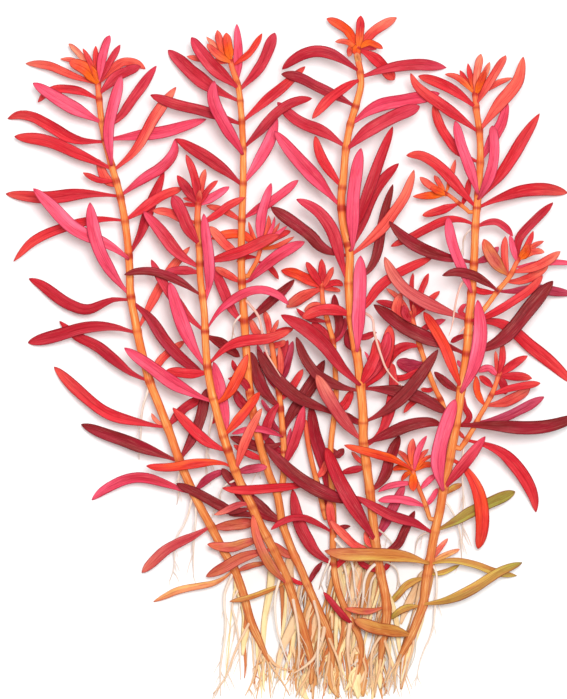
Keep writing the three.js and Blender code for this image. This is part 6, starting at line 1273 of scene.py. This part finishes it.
# Water roots: the solids' roots as tapered round threads, with fine side hairs.
TABLE = -SHIFT[2]
ROOT_TIP_HEIGHT = 0.35
THREAD_CLEARANCE = 0.04
FOOT_END, FOOT_LEFT, FOOT_RIGHT = -77.6, -13.0, 26.0
HAIR_SPACING = 3.4
HAIR_WIDTH = 0.2
root_draw = random.Random(7)


def root_rise(node, plan, base, width):
    """The height of a CAD root along its plan, read from the node's own points under it."""
    points = node_points[node]
    near = points_under(points, plan.tip(), width * 0.9)
    lift = (float(near[:, 2].mean()) if len(near) else ROOT_TIP_HEIGHT) - base
    paths = [path_with_height(plan, base, lift, arch) for arch in ARCHES]
    return min(paths, key=lambda path: gaps_to(points, path.at(np.array([0.34, 0.67, 1.0]))).mean())


def add_root(surface, path, width, tone, wander, ends=(1.1, 0.28), squash=1.0):
    """A thread along a path, thick at its start and thin at its tip, that never sinks into the table."""
    count = max(8, int(path.length / THREAD_ROW_STEP))
    shares = np.linspace(0, 1, count)
    centre = path.at(shares)
    phase, pace = root_draw.uniform(0, WAVE_SHIFT), root_draw.uniform(0.6, 1.6)
    centre[:, 0] += wander * np.sin(pace * FULL_TURN * shares + phase) * np.clip(shares * 4, 0, 1)
    radii = width / 2 * np.interp(shares, [0, 0.15, 0.75, 1.0], [ends[0], 0.95, 0.66, ends[1]])
    centre[:, 2] = np.maximum(centre[:, 2], TABLE + radii * squash + THREAD_CLEARANCE)
    tones = tone * np.interp(shares, [0, 0.3, 1], [0.94, 1.0, 1.0])[:, None]
    lots = np.full(count, root_draw.random() * 40)
    add_tube(surface, centre, radii, THREAD_SIDES, tones, lots, squash)
    return centre


root_skins = {}
all_roots = [(*row, False) for row in rows_of(ROOTS)] + [(*row, True) for row in rows_of(FRONT_ROOTS)]
for stem, row, in_front in all_roots:
    width, *flat = (float(value) for value in row)
    points = np.array(flat).reshape(-1, 2)
    base, _ = nearest_on_stem(stem, points[0])
    path = root_rise(f"stem_{stem}", Path(rooted(points, base)), base[2], width)
    surface = root_skins.setdefault(stem, Surface())
    if in_front:
        add_root(surface, path, width, tone_of["root_blush"], 0.0)
        continue
    tone = blend(tone_of["root_pale"], tone_of["root_tan"], share_between(-points[0][1], 45, 65))
    centre = add_root(surface, path, width * 0.9, tone, 0.15)
    for _ in range(int(path.length / HAIR_SPACING)):
        at = centre[root_draw.randrange(len(centre) // 4, len(centre))]
        reach = min(root_draw.uniform(1.5, 5.0), at[1] - FOOT_END)
        if reach < 1.0:
            continue
        lean = root_draw.choice([-1, 1]) * root_draw.uniform(0.12, 0.55)
        end = at + np.array([reach * lean, -reach, 0])
        middle = (at + end) / 2 + np.array([0.2 * lean, 0, 0])
        end[2] = middle[2] = max(TABLE, at[2] - reach * 0.3)
        add_root(surface, Path([at, middle, end]), HAIR_WIDTH, tone, 0.03)
for stem, surface in root_skins.items():
    place_piece(surface.make(f"shoot_{stem}_roots", root_skin), "root")

# The mass of pale roots round the feet, which falls to the table and spreads on it. How a root falls is
# given in rows: share of its drop, share of its lean, share of its height left.
SOFT_FALL = ((0.28, 0.28, 0.35), (0.55, 0.55, 0.0), (0.8, 0.8, 0.0), (1.0, 1.0, 0.0))
STEEP_FALL = ((0.07, 0.4, 0.15), (0.3, 0.7, 0.0), (0.7, 0.9, 0.0), (1.0, 1.0, 0.0))
# Each kind: count, least and most width, least and most reach, flatness, highest and lowest start,
# least and most lean, fall, stems, tints.
FOOT_KINDS = [
    (44, 1.5, 2.9, 12, 26, 0.14, -44.0, -80.0, -0.26, 0.2, SOFT_FALL, "aeebbbiiiccd",
     ["straw", "beige", "straw", "straw", "tan"]),
    (74, 0.7, 1.4, 12, 30, 0.3, -47.0, -80.0, -0.26, 0.2, SOFT_FALL, "aeebbbiiiccd",
     ["straw", "beige", "tan", "straw", "rust"]),
    (130, 0.24, 0.46, 14, 32, 1.0, -50.0, -80.0, -0.26, 0.2, SOFT_FALL, "aeebbbiiiccd",
     ["grey", "straw", "beige", "tan", "grey", "root_pale"]),
    (26, 1.0, 2.1, 12, 19, 0.2, -42.0, -46.5, -0.62, 0.0, STEEP_FALL, "c",
     ["apricot", "beige", "straw", "beige", "apricot"]),
]
SHORTEST_DROP = 5
foot_draw = random.Random(11)
for kind, row in enumerate(FOOT_KINDS):
    count, thin, wide, short, far, flat, top, low, left, right, fall, hosts, tints = row
    surface = Surface()
    for _ in range(count):
        line = [p for p in stems[foot_draw.choice(hosts)]["line"] if low < p[1] < top]
        start = foot_draw.choice(line)
        reach = foot_draw.uniform(short, far)
        end_y = max(start[1] - reach, FOOT_END + foot_draw.uniform(0, 5))
        drop = start[1] - end_y
        if drop < SHORTEST_DROP:
            continue
        end_x = start[0] + foot_draw.uniform(left, right) * drop + foot_draw.gauss(0, 1.2)
        end_x = min(max(end_x, FOOT_LEFT), FOOT_RIGHT)
        bend = foot_draw.gauss(0, 0.8)
        bed = TABLE + foot_draw.uniform(0.1, 1.1)
        way = [start]
        for share, lean, height in fall:
            x = start[0] + (end_x - start[0]) * lean + bend * math.sin(math.pi * share)
            way.append([x, start[1] - drop * share, bed + (start[2] - bed) * height])
        width, tint = foot_draw.uniform(thin, wide), foot_draw.choice(tints)
        add_root(surface, Path(way), width, tone_of[tint], 0.2, (0.4, 0.2), flat)
    place_piece(surface.make(f"foot_roots_{kind}", root_skin), "root")

# Floor, light and camera.
FLOOR_SIZE_M = 12.0
FLOOR_DROP_M = 0.0001
FLOOR_WHITE = 0.93
bpy.ops.mesh.primitive_plane_add(size=FLOOR_SIZE_M, location=(0, 0, cad_box[0][2] - FLOOR_DROP_M))
floor = bpy.context.object
floor.name = "floor"
floor.data.materials.append(floor_material())

# Each lamp: name, place, size and power. All of them are aimed at the middle of the part.
LAMPS = [
    ("key_light", (-0.45, 0.5, 1.0), 1.0, 2.6),
    ("fill_light", (0.8, -0.6, 1.0), 1.4, 1.4),
    ("top_light", (0.12, 0.22, 2.4), 0.5, 46.0),
]
for name, place, size, watts in LAMPS:
    data = bpy.data.lights.new(name, "AREA")
    data.shape = "DISK"
    data.size = size
    data.energy = watts
    lamp = bpy.data.objects.new(name, data)
    lamp.location = place
    lamp.rotation_euler = (-Vector(place)).to_track_quat("-Z", "Y").to_euler()
    bpy.context.scene.collection.objects.link(lamp)

world = bpy.data.worlds.new("studio")
bpy.context.scene.world = world
world.use_nodes = True
world.node_tree.nodes["Background"].inputs["Color"].default_value = (1, 1, 1, 1)
world.node_tree.nodes["Background"].inputs["Strength"].default_value = 0.42
bpy.context.scene.view_settings.view_transform = "Standard"

# The camera looks straight down on the clump.
lens = bpy.data.cameras.new("view")
lens.sensor_fit = "VERTICAL"
lens.sensor_height = SENSOR_MM
lens.lens = SENSOR_MM * CAMERA_HEIGHT_M / (VIEW_HEIGHT_MM * MM)
lens.clip_end = 20.0
camera = bpy.data.objects.new("view", lens)
camera.location = (SHIFT[0] * MM, SHIFT[1] * MM, CAMERA_HEIGHT_M + CLUMP_MIDDLE_M)
bpy.context.scene.collection.objects.link(camera)
bpy.context.scene.camera = camera
